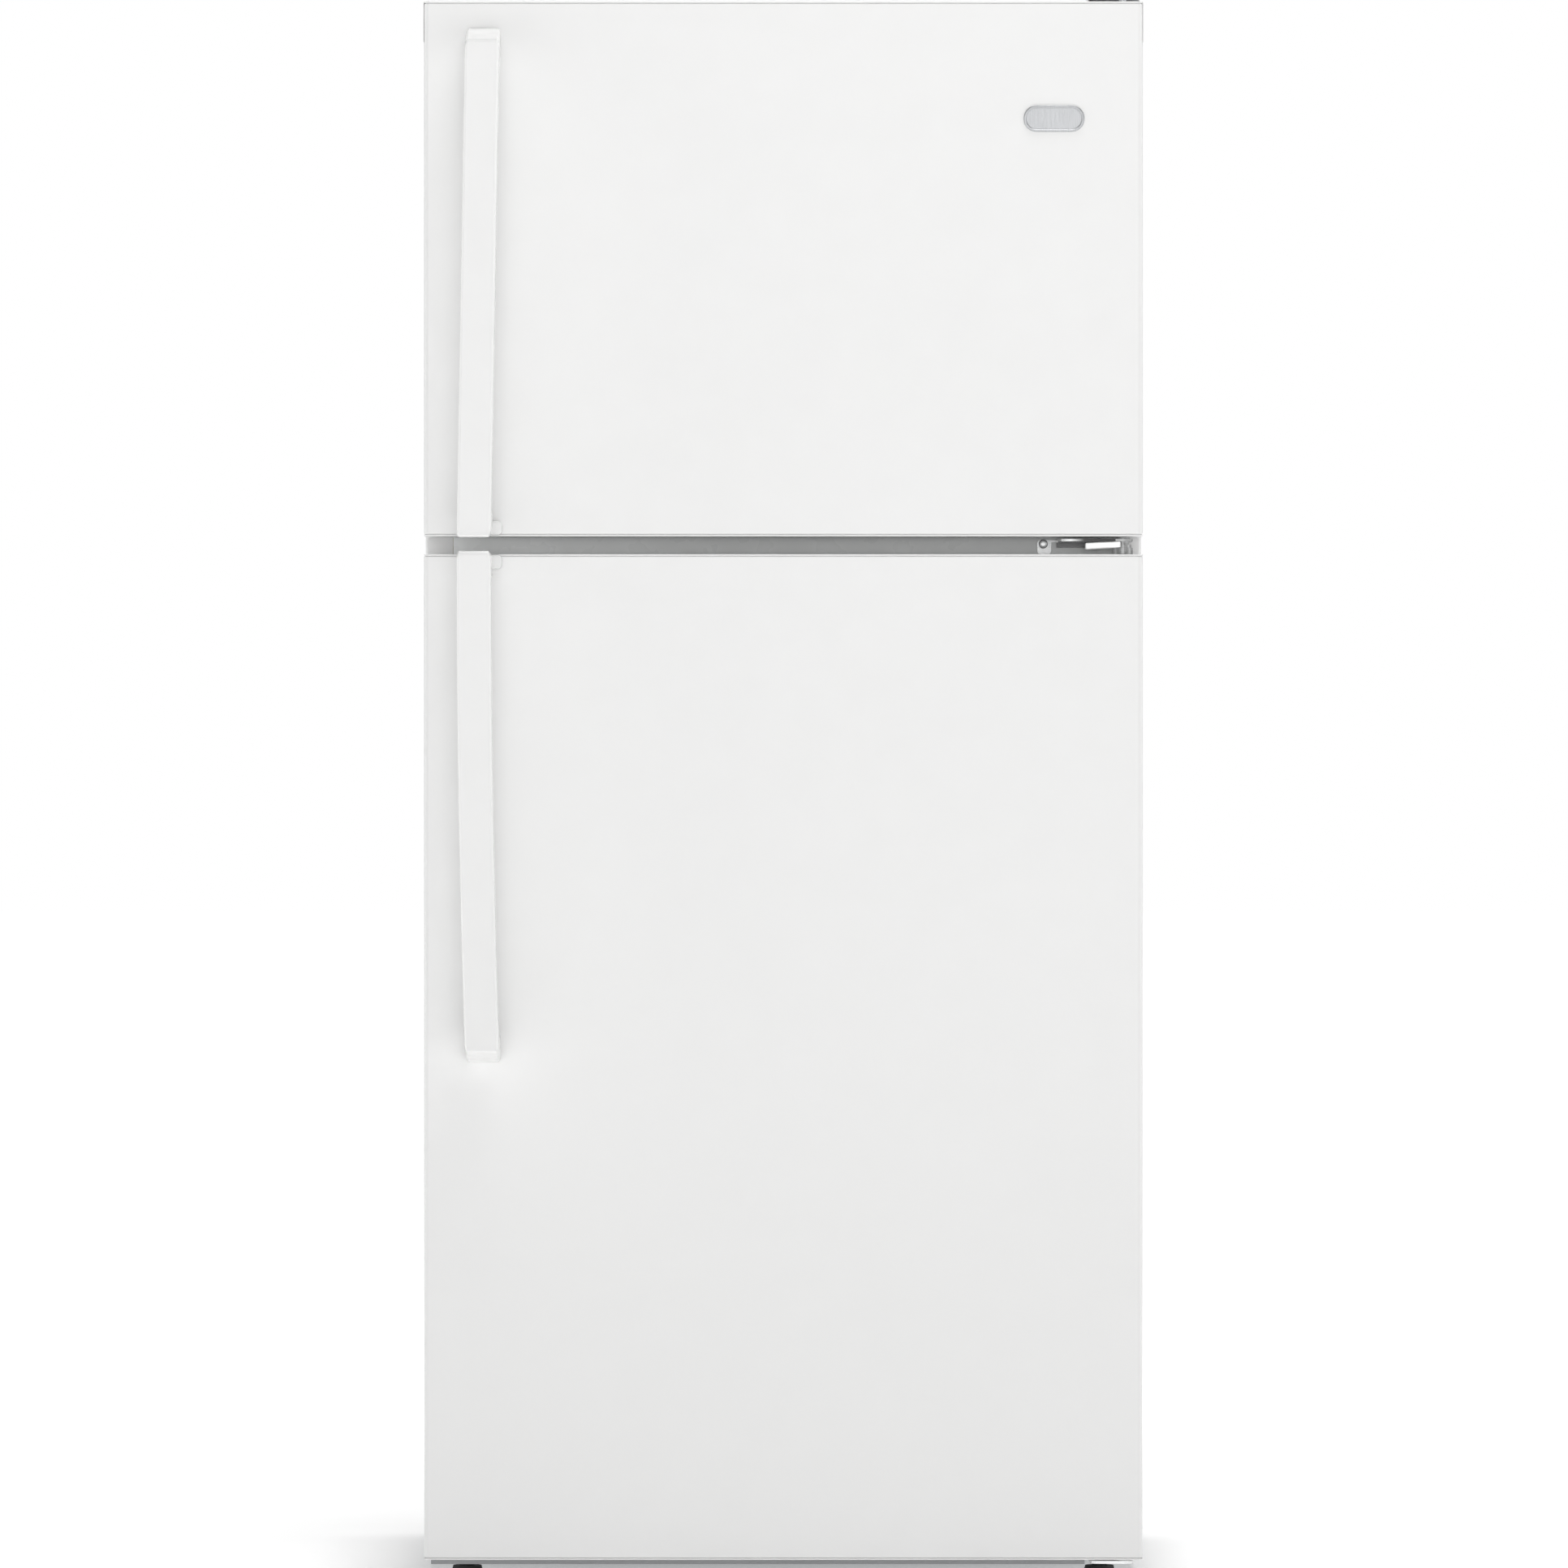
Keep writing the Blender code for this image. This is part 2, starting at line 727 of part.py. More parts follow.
def evaporator_coil():
    """Fin pack of the evaporator."""
    low, high = (-0.270, 0.288, 1.190), (0.270, 0.332, 1.400)
    pack = block("evaporator_coil", low, high, "aluminium")
    fins = []
    for i in range(18):
        x = low[0] + 0.009 + i * 0.0295
        fins.append(((x, low[1] + 0.006, low[2] - 0.01), (x + 0.020, high[1] + 0.01, high[2] + 0.01)))
    return cut(pack, blocks("fin_gaps", fins))


def fan(name, centre, axis, radius, depth, slot, blades=4):
    """A hub with pitched blades, its origin on its axis."""
    hub = cylinder(name, centre, radius * 0.30, depth, axis, slot, sides=16)
    for i in range(blades):
        bm = bmesh.new()
        add_box(bm, (radius * 0.15, -depth * 0.55, -0.0008), (radius, depth * 0.55, 0.0008))
        pitch = Matrix.Rotation(math.radians(32), 4, "X")
        round_turn = Matrix.Rotation(2 * math.pi * i / blades, 4, "Y")
        to_axis = Matrix.Identity(4) if axis == "Y" else Matrix.Rotation(-math.pi / 2, 4, "Z")
        place = Matrix.Translation(centre) @ to_axis @ round_turn @ pitch
        bmesh.ops.transform(bm, matrix=place, verts=bm.verts)
        join(hub, add_object(f"{name}_blade_{i}", bm, None))
    return set_origin(hub, centre)


def evaporator_fan_motor():
    centre = (FAN_X, 0.318, FAN_Z)
    motor = cylinder("evaporator_fan_motor", centre, 0.024, 0.034, "Y", "dark_plastic", sides=20)
    bracket = block("fan_bracket", (-0.085, 0.322, FAN_Z - 0.008), (0.085, 0.326, FAN_Z + 0.008))
    return join(motor, bracket)


def freezer_shelf():
    """Wire shelf: a square frame bar with wires across it."""
    half, front, back = SHELF_HALF, -0.180, EVAPORATOR_COVER - 0.004
    z, bar = FREEZER_SHELF_LEVEL, 0.005
    frame = block("freezer_shelf", (-half, front, z), (half, back, z + bar), "shelf_wire")
    cut(
        frame,
        block("shelf_hole", (-half + bar, front + bar, z - 0.01), (half - bar, back - bar, z + 0.02)),
    )
    wires = []
    count = 16
    for i in range(count):
        x = -half + (i + 1) * 2 * half / (count + 1)
        wires.append(((x - 0.0015, front + 0.001, z + 0.002), (x + 0.0015, back - 0.001, z + 0.0065)))
    return join(frame, blocks("shelf_wires", wires))


def glass_shelf(name, level, front=SHELF_FRONT):
    return block(
        name,
        (-SHELF_HALF, front, level),
        (SHELF_HALF, FRIDGE_BACK - 0.006, level + SHELF_THICK),
        "shelf_glass",
        0.001,
        segments=1,
    )


def crisper(name, side):
    """A clear pan that slides forward, its front panel turned over into a pull."""
    x0, x1 = sorted((side * 0.006, side * 0.324))
    low, high = (x0, -0.150, FRIDGE_FLOOR + 0.0006), (x1, 0.140, 0.335)
    pan = tray(name, low, high, 0.0025, "clear_plastic", 0.010)
    pull = block(f"{name}_pull", (x0 + 0.004, -0.156, 0.318), (x1 - 0.004, -0.1485, 0.335))
    join(pan, pull)
    return set_origin(pan, ((x0 + x1) / 2, low[1], low[2]))


def control_housing():
    """Control box under the fridge ceiling: a shell that is open at the top."""
    low, high = (-0.200, CONTROL_FACE, 0.988), (0.200, 0.060, FRIDGE_CEILING - GAP)
    housing = block("control_housing", low, high, "liner_plastic", 0.006, "XYZ", lambda m: m.z < 1.0)
    hollow = block(
        "housing_hollow",
        (low[0] + 0.003, low[1] + 0.003, low[2] + 0.003),
        (high[0] - 0.003, high[1] - 0.003, high[2] + PAST),
    )
    cut(housing, hollow)
    bores = [(-KNOB_X, 0.0045), (KNOB_X, 0.0045), (SWITCH_X, 0.0065)]
    for i, (x, radius) in enumerate(bores):
        place = (x, CONTROL_FACE, CONTROL_LEVEL)
        cut(housing, cylinder(f"control_bore_{i}", place, radius, 0.03, "Y", sides=16))
    return housing


def control_knob(name, x):
    """A round dial with a grip bar, on a shaft through the housing's front."""
    face, z = CONTROL_FACE, CONTROL_LEVEL
    knob = cylinder(name, (x, face - 0.0053, z), 0.0165, 0.009, "Y", "grey_plastic", sides=24)
    grip = block(
        f"{name}_grip", (x - 0.0025, face - 0.0165, z - 0.014), (x + 0.0025, face - 0.009, z + 0.014)
    )
    shaft = cylinder(f"{name}_shaft", (x, face + 0.002, z), 0.004, 0.016, "Y", sides=16)
    join(knob, grip, shaft)
    return set_origin(knob, (x, face, z))


def door_switch():
    """Plunger of the lamp switch, in the housing's front."""
    place = (SWITCH_X, CONTROL_FACE - 0.0015, CONTROL_LEVEL)
    return set_origin(
        cylinder("door_switch", place, 0.006, 0.019, "Y", "white_trim", sides=16), place
    )


def lamp_lens():
    low, high = (-0.070, 0.064, 0.994), (0.070, 0.140, FRIDGE_CEILING - GAP)
    lens = block("lamp_lens", low, high, "lamp_lens", 0.006, "XYZ", lambda m: m.z < 1.0)
    hollow = block(
        "lens_hollow",
        (low[0] + 0.002, low[1] + 0.002, low[2] + 0.002),
        (high[0] - 0.002, high[1] - 0.002, high[2] + PAST),
        None,
        0.004,
        "XYZ",
        lambda m: m.z < 1.0,
    )
    return cut(lens, hollow)


# ---------------------------------------------------------------- machine compartment
def compressor():
    """Sealed dome on a foot plate."""
    x, y = COMPRESSOR
    profile = [(0.0, 0.226), (0.035, 0.224), (0.062, 0.212), (0.078, 0.190), (0.082, 0.160)]
    profile += [(0.082, 0.148), (0.086, 0.146), (0.086, 0.140), (0.081, 0.138), (0.080, 0.090)]
    profile += [(0.068, 0.066), (0.045, 0.056), (0.0, 0.056)]
    shell = turned("compressor", profile, (x, y, 0), slot="black_enamel", steps=20)
    smooth(shell, 50)
    foot = block(
        "compressor_foot", (x - 0.095, y - 0.070, 0.050), (x + 0.095, y + 0.070, 0.060), None, 0.015, "Z"
    )
    feet = [
        cylinder(f"compressor_grommet_{i}", (x + dx, y + dy, 0.0455), 0.010, 0.013, sides=12)
        for i, (dx, dy) in enumerate(((-0.08, -0.055), (0.08, -0.055), (0.08, 0.055), (-0.08, 0.055)))
    ]
    return join(shell, foot, *feet)


def condenser_coil():
    """One tube, folded back and forth in two layers."""
    points = []
    passes = 7
    for layer, y in enumerate((0.225, 0.385)):
        for i in range(passes):
            level = i if layer == 0 else passes - 1 - i
            z = 0.098 + level * 0.022
            ends = (-0.335, -0.050) if (i + layer * passes) % 2 == 0 else (-0.050, -0.335)
            for x, inward in zip(ends, (1, -1)):
                step = 0.006 if ends[0] < ends[1] else -0.006
                points.append((x + inward * step, y, z))
    return tube("condenser_coil", points, 0.004, "black_enamel", 1)


def condenser_fan_motor():
    x, y, z = MACHINE_FAN
    motor = cylinder("condenser_fan_motor", (x + 0.040, y, z), 0.026, 0.038, "X", "dark_plastic", sides=20)
    post = block("fan_post", (x + 0.036, y - 0.010, 0.0385), (x + 0.044, y + 0.010, z))
    foot = block("fan_foot", (x + 0.022, y - 0.03, 0.0380), (x + 0.058, y + 0.03, 0.0415))
    return join(motor, post, foot)


def drain_pan():
    return tray("drain_pan", (-0.350, 0.185, 0.040), (-0.010, 0.410, 0.080), 0.002, "dark_plastic", 0.012)


def machine_cover():
    """Board over the back of the machine compartment, with vents and a hole for the gland."""
    y = CASE_BACK - 0.0045
    cover = block(
        "machine_cover",
        (-0.370, y, 0.052),
        (0.370, y + 0.003, MACHINE_TOP - 0.004),
        "fibreboard",
        0.006,
        "Y",
    )
    slots = []
    for row in range(5):
        for column in range(4):
            x = -0.300 + column * 0.155
            z = 0.120 + row * 0.024
            slots.append(((x, y - 0.01, z), (x + 0.110, y + 0.01, z + 0.009)))
    bore = cylinder("gland_bore", (GLAND[0], y, GLAND[1]), 0.0075, 0.03, "Y", sides=20)
    return cut(cover, blocks("machine_vents", slots), bore)


def cord_gland():
    """Rubber grommet in the cover, where the mains lead leaves."""
    x, z = GLAND
    y = CASE_BACK - 0.003
    neck = cylinder("cord_gland", (x, y - 0.0005, z), 0.0072, 0.0065, "Y", "black_rubber")
    inside = cylinder("gland_inside", (x, y - 0.0033, z), 0.0110, 0.0030, "Y")
    bore = cylinder("gland_hole", (x, y, z), 0.0040, 0.03, "Y", sides=16)
    return cut(join(neck, inside), bore)


def levelling_leg(name, side):
    """Screw leg through the nut boss of the base."""
    x = side * LEG_X
    foot = cylinder(name, (x, LEG_Y, 0.006), 0.018, 0.012, slot="black_rubber", sides=24, tip=0.015)
    shank = cylinder(f"{name}_shank", (x, LEG_Y, 0.042), 0.0051, 0.066, sides=16)
    nut = cylinder(f"{name}_nut", (x, LEG_Y, 0.0155), 0.009, 0.009, sides=6)
    join(foot, shank, nut)
    return set_origin(foot, (x, LEG_Y, 0.0))


def roller(name, side):
    x = side * LEG_X
    wheel = cylinder(name, (x, ROLLER_Y, ROLLER_RADIUS), ROLLER_RADIUS, 0.022, "X", "grey_plastic", 32)
    axle = cylinder(f"{name}_axle", (x, ROLLER_Y, ROLLER_RADIUS), AXLE, 0.040, "X", sides=16)
    join(wheel, axle)
    return set_origin(wheel, (x, ROLLER_Y, ROLLER_RADIUS))


# ---------------------------------------------------------------- doors
def is_front(mid):
    return mid.y < (DOOR_FRONT + DOOR_BACK) / 2


def door_skin(name, low, high):
    """Steel skin: front and two sides, turned in at the back, open at the top and bottom."""
    skin = block(
        f"{name}_door_skin",
        (-DOOR_HALF, DOOR_FRONT, low + LIP + GAP),
        (DOOR_HALF, DOOR_BACK, high - LIP - GAP),
        "white_enamel",
        DOOR_CORNER,
        "Z",
        is_front,
        4,
    )
    inside = block(
        f"{name}_skin_inside",
        (-DOOR_HALF + SHEET, DOOR_FRONT + SHEET, low - PAST),
        (DOOR_HALF - SHEET, DOOR_BACK - SHEET, high + PAST),
        None,
        DOOR_CORNER - SHEET,
        "Z",
        is_front,
        4,
    )
    window = block(
        f"{name}_skin_window",
        (-BACK_WINDOW, DOOR_BACK - 0.01, low - PAST),
        (BACK_WINDOW, DOOR_BACK + PAST, high + PAST),
    )
    return cut(skin, inside, window)


def door_cap(name, edge, inward, ears=False):
    """End cap: a lip over the whole edge, a plug in the skin and a boss for the hinge pin."""
    side = DOOR_HALF - SHEET - GAP
    front, back = DOOR_FRONT + SHEET + GAP, DOOR_BACK - SHEET - GAP
    lip_low, lip_high = sorted((edge, edge + inward * LIP))
    cap = block(
        name,
        (-DOOR_HALF, DOOR_FRONT, lip_low),
        (DOOR_HALF, DOOR_BACK, lip_high),
        "white_trim",
        DOOR_CORNER,
        "Z",
        is_front,
        4,
    )
    plug_low, plug_high = sorted((edge + inward * LIP / 2, edge + inward * PLUG))
    plug = block(
        f"{name}_plug", (-side, front, plug_low), (side, back, plug_high), None, 0.004, "Z", is_front, 4
    )
    middle = edge + inward * (0.001 + BOSS_DEPTH) / 2
    boss = cylinder(f"{name}_boss", (HINGE_X, HINGE_Y, middle), BOSS, BOSS_DEPTH - 0.001, sides=20)
    bore_middle = edge + inward * (BOSS_DEPTH - 0.002 - PAST) / 2
    bore = cylinder(
        f"{name}_bore",
        (HINGE_X, HINGE_Y, bore_middle),
        PIN + GAP,
        BOSS_DEPTH - 0.002 + PAST,
        sides=20,
    )
    join(cap, plug)
    if ears:
        reach = 0.042
        for sign in (-1, 1):
            x0, x1 = sorted((sign * (DOOR_HALF - 0.002), sign * (DOOR_HALF + 0.0009)))
            x2 = sorted((sign * (DOOR_HALF + GAP), sign * (DOOR_HALF + 0.0009)))
            top = block(f"{name}_ear_top_{sign}", (x0, -0.352, edge - LIP), (x1, -0.304, edge - 0.0002))
            ear = block(
                f"{name}_ear_{sign}", (x2[0], -0.352, edge - reach), (x2[1], -0.304, edge - 0.0006)
            )
            join(cap, top, ear)
    return cut(join(cap, boss), bore)


def dyke_edge(mid):
    return mid.y > -0.28


def door_foam(name, low, high, dyke, recess):
    side = DOOR_HALF - SHEET - GAP
    front, back = DOOR_FRONT + SHEET + GAP, DOOR_BACK - SHEET - GAP
    bottom, top = low + PLUG + GAP, high - PLUG - GAP
    foam = block(
        f"{name}_door_foam", (-side, front, bottom), (side, back, top), "foam", 0.004, "Z", is_front, 4
    )
    inner = LINER + GAP
    fill = block(
        f"{name}_dyke_fill",
        (-DYKE_HALF + inner, back - 0.002, dyke[0] + inner),
        (DYKE_HALF - inner, DYKE_BACK - inner, dyke[1] - inner),
        None,
        DYKE_ROUND - LINER,
        "XYZ",
        dyke_edge,
    )
    room = block(
        f"{name}_tub_room",
        (-RECESS_HALF - inner, RECESS_FRONT - inner, recess[0] - inner),
        (RECESS_HALF + inner, DYKE_BACK + PAST, recess[1] + inner),
    )
    bosses = [
        cylinder(f"{name}_boss_room_{i}", (HINGE_X, HINGE_Y, z), BOSS + GAP, 0.040, sides=20)
        for i, z in enumerate((bottom, top))
    ]
    return cut(join(foam, fill), room, *bosses)


def door_liner(name, low, high, dyke, recess):
    """Formed liner: a flat border, a hollow raised ring and a recess inside it for the bins."""
    liner = block(
        f"{name}_door_liner",
        (-GASKET_OUT - 0.0005, PLATE_FRONT, low + 0.006),
        (GASKET_OUT + 0.0005, PLATE_BACK, high - 0.006),
        "liner_plastic",
        0.006,
        "Y",
    )
    raised = block(
        f"{name}_dyke",
        (-DYKE_HALF, PLATE_FRONT, dyke[0]),
        (DYKE_HALF, DYKE_BACK, dyke[1]),
        None,
        DYKE_ROUND,
        "XYZ",
        dyke_edge,
    )
    tub_corners = (
        (-RECESS_HALF - LINER, RECESS_FRONT - LINER, recess[0] - LINER),
        (RECESS_HALF + LINER, DYKE_BACK - 0.001, recess[1] + LINER),
    )
    tub = block(f"{name}_tub", *tub_corners)
    recess_space = block(
        f"{name}_recess",
        (-RECESS_HALF, RECESS_FRONT, recess[0]),
        (RECESS_HALF, DYKE_BACK + PAST, recess[1]),
        None,
        0.006,
        "XZ",
        lambda mid: mid.y < -0.28,
    )
    ring = block(
        f"{name}_dyke_hollow",
        (-DYKE_HALF + LINER, PLATE_FRONT - 0.002, dyke[0] + LINER),
        (DYKE_HALF - LINER, DYKE_BACK - LINER, dyke[1] - LINER),
        None,
        DYKE_ROUND - LINER,
        "XYZ",
        dyke_edge,
    )
    cut(ring, block(f"{name}_tub_copy", *tub_corners))
    return cut(join(liner, raised, tub), recess_space, ring)


def gasket(name, span):
    ring = block(
        f"{name}_gasket",
        (-GASKET_OUT, PLATE_BACK + GAP, span[0]),
        (GASKET_OUT, GASKET_BACK, span[1]),
        "gasket_vinyl",
        0.006,
        "Y",
    )
    wide = GASKET_OUT - GASKET_IN
    hole = block(
        f"{name}_gasket_hole",
        (-GASKET_IN, PLATE_FRONT - PAST, span[0] + wide),
        (GASKET_IN, CASE_FRONT + PAST, span[1] - wide),
    )
    return cut(ring, hole)


def door_bin(name, low, high, back):
    """Clear bin across the recess, its cabinet-side wall dipped in the middle."""
    half = RECESS_HALF - 0.0006
    corner_low, corner_high = (-half, RECESS_FRONT + 0.0015, low), (half, back, high)
    dip = ((-half + 0.05, back - 0.01, high - 0.018), (half - 0.05, back + PAST, high + PAST))
    return tray(name, corner_low, corner_high, 0.0025, "clear_plastic", 0.008, dip)


def add_dairy(liner):
    """Moulded floor and roof of the dairy compartment, across the recess."""
    half = RECESS_HALF + LINER / 2
    front = RECESS_FRONT - LINER / 2
    floor = block("dairy_floor", (-half, front, DAIRY_LOW), (half, DAIRY_FLOOR_BACK, DAIRY_LOW + 0.003))
    roof = block("dairy_roof", (-half, front, DAIRY_HIGH), (half, DAIRY_ROOF_BACK, DAIRY_HIGH + 0.003))
    return join(liner, floor, roof)


def dairy_lid():
    """Clear flap over the dairy compartment, hung on a barrel along its top edge."""
    y, z = LID_AXIS
    half = RECESS_HALF - 0.0015
    lid = block("dairy_lid", (-half, y - 0.00125, DAIRY_LOW + 0.004), (half, y + 0.00125, z), "clear_plastic")
    barrel = cylinder("lid_barrel", (0, y, z), 0.0035, 2 * half + 0.0012, "X", sides=16)
    grip = block("lid_grip", (-0.06, y, DAIRY_LOW + 0.004), (0.06, y + 0.008, DAIRY_LOW + 0.008))
    join(lid, barrel, grip)
    return set_origin(lid, (0, y, z))


def handle_centre(share, upper):
    """Where the bar's middle is across the door, by its share of the way from the gap to the far end."""
    bend = share if upper else share**2
    return HANDLE_GAP_X + (HANDLE_FAR_X - HANDLE_GAP_X) * bend


def handle(name, upper):
    """A swept bar on two legs; each station of its loft is an inner and an outer point, from the side."""
    sign = 1 if upper else -1
    edge = FREEZER_DOOR[0] if upper else FRIDGE_DOOR[1]
    far = FREEZER_HANDLE_END if upper else FRIDGE_HANDLE_END
    face = DOOR_FRONT - GAP
    inner = HANDLE_FRONT + HANDLE_DEPTH
    slope = 0.016 if upper else 0.012
    near = edge - sign * 0.0028
    length = abs(far - near)

    stations = [
        ((face, edge + sign * 0.024), (face, edge + sign * 0.0008)),
        ((inner + 0.010, edge + sign * 0.022), (HANDLE_FRONT + 0.010, near + sign * 0.0006)),
        ((inner + 0.003, edge + sign * 0.026), (HANDLE_FRONT + 0.002, near)),
        ((inner, edge + sign * 0.034), (HANDLE_FRONT, near + sign * 0.002)),
    ]
    steps = 8
    for i in range(1, steps):
        z = near + sign * (0.034 + (length - 0.068) * i / steps)
        stations.append(((inner, z), (HANDLE_FRONT, z)))
    stations += [
        ((inner, far - sign * 0.034), (HANDLE_FRONT, far - sign * 0.0010)),
        ((inner + 0.003, far - sign * 0.026), (HANDLE_FRONT + 0.002, far + sign * 0.0006)),
        ((face, far + sign * (slope - 0.030)), (face, far + sign * slope)),
    ]

    flat = 1 - HANDLE_EDGE / HANDLE_HALF
    section = [(-1, 0.0), (-1, HANDLE_SHOULDER), (-flat, 1.0)]
    section += [(-u, share) for u, share in reversed(section)]
    bm = bmesh.new()
    rings = []
    for (inner_y, inner_z), (outer_y, outer_z) in stations:
        ring = []
        for u, share in section:
            y = inner_y + (outer_y - inner_y) * share
            z = inner_z + (outer_z - inner_z) * share
            along = min(max(abs(z - near) / length, 0.0), 1.0)
            ring.append(bm.verts.new((handle_centre(along, upper) + u * HANDLE_HALF, y, z)))
        rings.append(ring)
    for first, second in zip(rings, rings[1:]):
        for i in range(len(section)):
            j = (i + 1) % len(section)
            bm.faces.new((first[i], first[j], second[j], second[i]))
    bm.faces.new(rings[0])
    bm.faces.new(rings[-1])
    bmesh.ops.triangulate(bm, faces=bm.faces[:])
    bar = add_object(name, bm, "white_handle")
    smooth(bar, 25)

    right = HANDLE_GAP_X + HANDLE_HALF
    pad_z = sorted((edge + sign * 0.0008, edge + sign * 0.0155))
    pad = block(
        f"{name}_foot",
        (right - 0.006, face - 0.012, pad_z[0]),
        (right + 0.0105, face, pad_z[1]),
        None,
        0.003,
        "Y",
    )
    return join(bar, pad)


def badge():
    """Plain oval-ended plaque, with no lettering."""
    return block(
        "badge",
        (BADGE_X[0], DOOR_FRONT - GAP - BADGE_THICK, BADGE_Z[0]),
        (BADGE_X[1], DOOR_FRONT - GAP, BADGE_Z[1]),
        "badge_silver",
        0.0135,
        "Y",
        segments=6,
    )


def freezer_door():
    low, high = FREEZER_DOOR
    return [
        door_skin("freezer", low, high),
        door_foam("freezer", low, high, FREEZER_DYKE, FREEZER_RECESS),
        door_liner("freezer", low, high, FREEZER_DYKE, FREEZER_RECESS),
        gasket("freezer", FREEZER_GASKET),
        door_cap("freezer_door_top_cap", high, -1, ears=True),
        door_cap("freezer_door_bottom_cap", low, 1),
        handle("freezer_handle", True),
        door_bin("freezer_bin_upper", 1.392, 1.482, -0.200),
        door_bin("freezer_bin_lower", 1.181, 1.271, -0.200),
        badge(),
    ]


def fridge_door():
    low, high = FRIDGE_DOOR
    return [
        door_skin("fridge", low, high),
        door_foam("fridge", low, high, FRIDGE_DYKE, FRIDGE_RECESS),
        add_dairy(door_liner("fridge", low, high, FRIDGE_DYKE, FRIDGE_RECESS)),
        gasket("fridge", FRIDGE_GASKET),
        door_cap("fridge_door_top_cap", high, -1),
        door_cap("fridge_door_bottom_cap", low, 1),
        handle("fridge_handle", False),
        door_bin("fridge_bin_middle", 0.560, 0.660, -0.190),
        door_bin("fridge_bin_lower", 0.199, 0.335, -0.185),
    ]


def door_pivot(name, level):
    """Empty on the doors' hinge line, at the bottom of a door."""
    pivot = bpy.data.objects.new(name, None)
    PIECES.objects.link(pivot)
    pivot.location = (HINGE_X, HINGE_Y, level)
    return pivot


def build():
    outer_case()
    back_panel()
    cabinet_foam()
    freezer_liner()
    fridge_liner()
    mullion_rail()
    base_frame()
    base_grille()
    top_hinge()
    top_hinge_cover()
    centre_hinge()
    centre_hinge_bolt()
    centre_hinge_stop()
    bottom_hinge()

    evaporator_cover()
    evaporator_coil()
    evaporator_fan_motor()
    fan("evaporator_fan", (FAN_X, EVAPORATOR_FAN_Y, FAN_Z), "Y", 0.052, 0.016, "grey_plastic")
    freezer_shelf()
    for name, level in SHELF_LEVELS.items():
        glass_shelf(name, level)
    glass_shelf("crisper_cover", COVER_LEVEL, -0.160)
    crisper("crisper_left", -1)
    crisper("crisper_right", 1)
    control_housing()
    control_knob("fridge_control_knob", -KNOB_X)
    control_knob("freezer_control_knob", KNOB_X)
    door_switch()
    lamp_lens()

    compressor()
    condenser_coil()
    condenser_fan_motor()
    fan("condenser_fan", MACHINE_FAN, "X", 0.062, 0.022, "dark_plastic")
    drain_pan()
    machine_cover()
    cord_gland()
    for side, word in ((-1, "left"), (1, "right")):
        levelling_leg(f"levelling_leg_{word}", side)
        roller(f"roller_{word}", side)

    hang_on(door_pivot("freezer_door_pivot", FREEZER_DOOR[0]), freezer_door())
    fridge_pivot = door_pivot("fridge_door_pivot", FRIDGE_DOOR[0])
    hang_on(fridge_pivot, fridge_door())
    lid = dairy_lid()
    lid.parent = fridge_pivot
    lid.matrix_parent_inverse = Matrix.Translation(-fridge_pivot.location)


clear_scene()
PIECES = new_collection("top_freezer_refrigerator")
CUTTERS = new_collection("cutters")
build()
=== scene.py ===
"""Looks of the top freezer refrigerator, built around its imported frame."""

import json
import math

import bmesh
import bpy
from mathutils import Matrix, Vector


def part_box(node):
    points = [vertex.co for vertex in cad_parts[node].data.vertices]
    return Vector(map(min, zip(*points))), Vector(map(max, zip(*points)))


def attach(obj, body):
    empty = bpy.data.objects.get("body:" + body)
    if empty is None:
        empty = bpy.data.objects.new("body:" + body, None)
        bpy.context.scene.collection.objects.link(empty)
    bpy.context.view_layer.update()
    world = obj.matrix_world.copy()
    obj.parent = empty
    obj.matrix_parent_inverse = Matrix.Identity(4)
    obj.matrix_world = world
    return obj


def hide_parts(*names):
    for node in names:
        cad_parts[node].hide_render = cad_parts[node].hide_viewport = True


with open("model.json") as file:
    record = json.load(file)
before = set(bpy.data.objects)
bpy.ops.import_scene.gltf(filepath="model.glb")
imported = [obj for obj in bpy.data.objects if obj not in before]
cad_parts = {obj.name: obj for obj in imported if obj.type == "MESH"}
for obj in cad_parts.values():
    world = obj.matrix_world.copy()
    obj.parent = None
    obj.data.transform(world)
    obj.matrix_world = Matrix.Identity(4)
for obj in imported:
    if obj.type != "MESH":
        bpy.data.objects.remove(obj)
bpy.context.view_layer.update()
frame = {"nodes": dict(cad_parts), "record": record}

# ---- sizes, in metres
LIFT = 0.0003  # clearance between a piece and what it lies on
WELD = 0.000002  # points closer than this become one
SHEET = 0.001
DOOR_CORNER = 0.005
HEM = 0.0006
SEAM = 0.0004  # how far the skin stops short at each end, which opens the seam beside the end cap
DOOR_BODIES = {"freezer": "freezer_door", "fridge": "fridge_door"}

SKIN_LOW, SKIN_HIGH = {}, {}
for _prefix in DOOR_BODIES:
    SKIN_LOW[_prefix], SKIN_HIGH[_prefix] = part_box(f"{_prefix}_door_skin")
DOOR_FRONT = SKIN_LOW["freezer"].y
DOOR_BACK = SKIN_HIGH["freezer"].y
DOOR_HALF = SKIN_HIGH["freezer"].x
CASE_LOW, CASE_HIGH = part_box("outer_case")


# ---- materials
def shader_of(name, colour, roughness, metallic=0.0):
    """A new material's tree and its Principled shader."""
    material = bpy.data.materials.new(name)
    material.use_nodes = True
    tree = material.node_tree
    shader = tree.nodes["Principled BSDF"]
    set_inputs(shader, Base_Color=(*colour, 1.0), Roughness=roughness, Metallic=metallic)
    return material, tree, shader


def set_inputs(node, **values):
    """Sets inputs by name, with _ for a space."""
    for name, value in values.items():
        node.inputs[name.replace("_", " ")].default_value = value


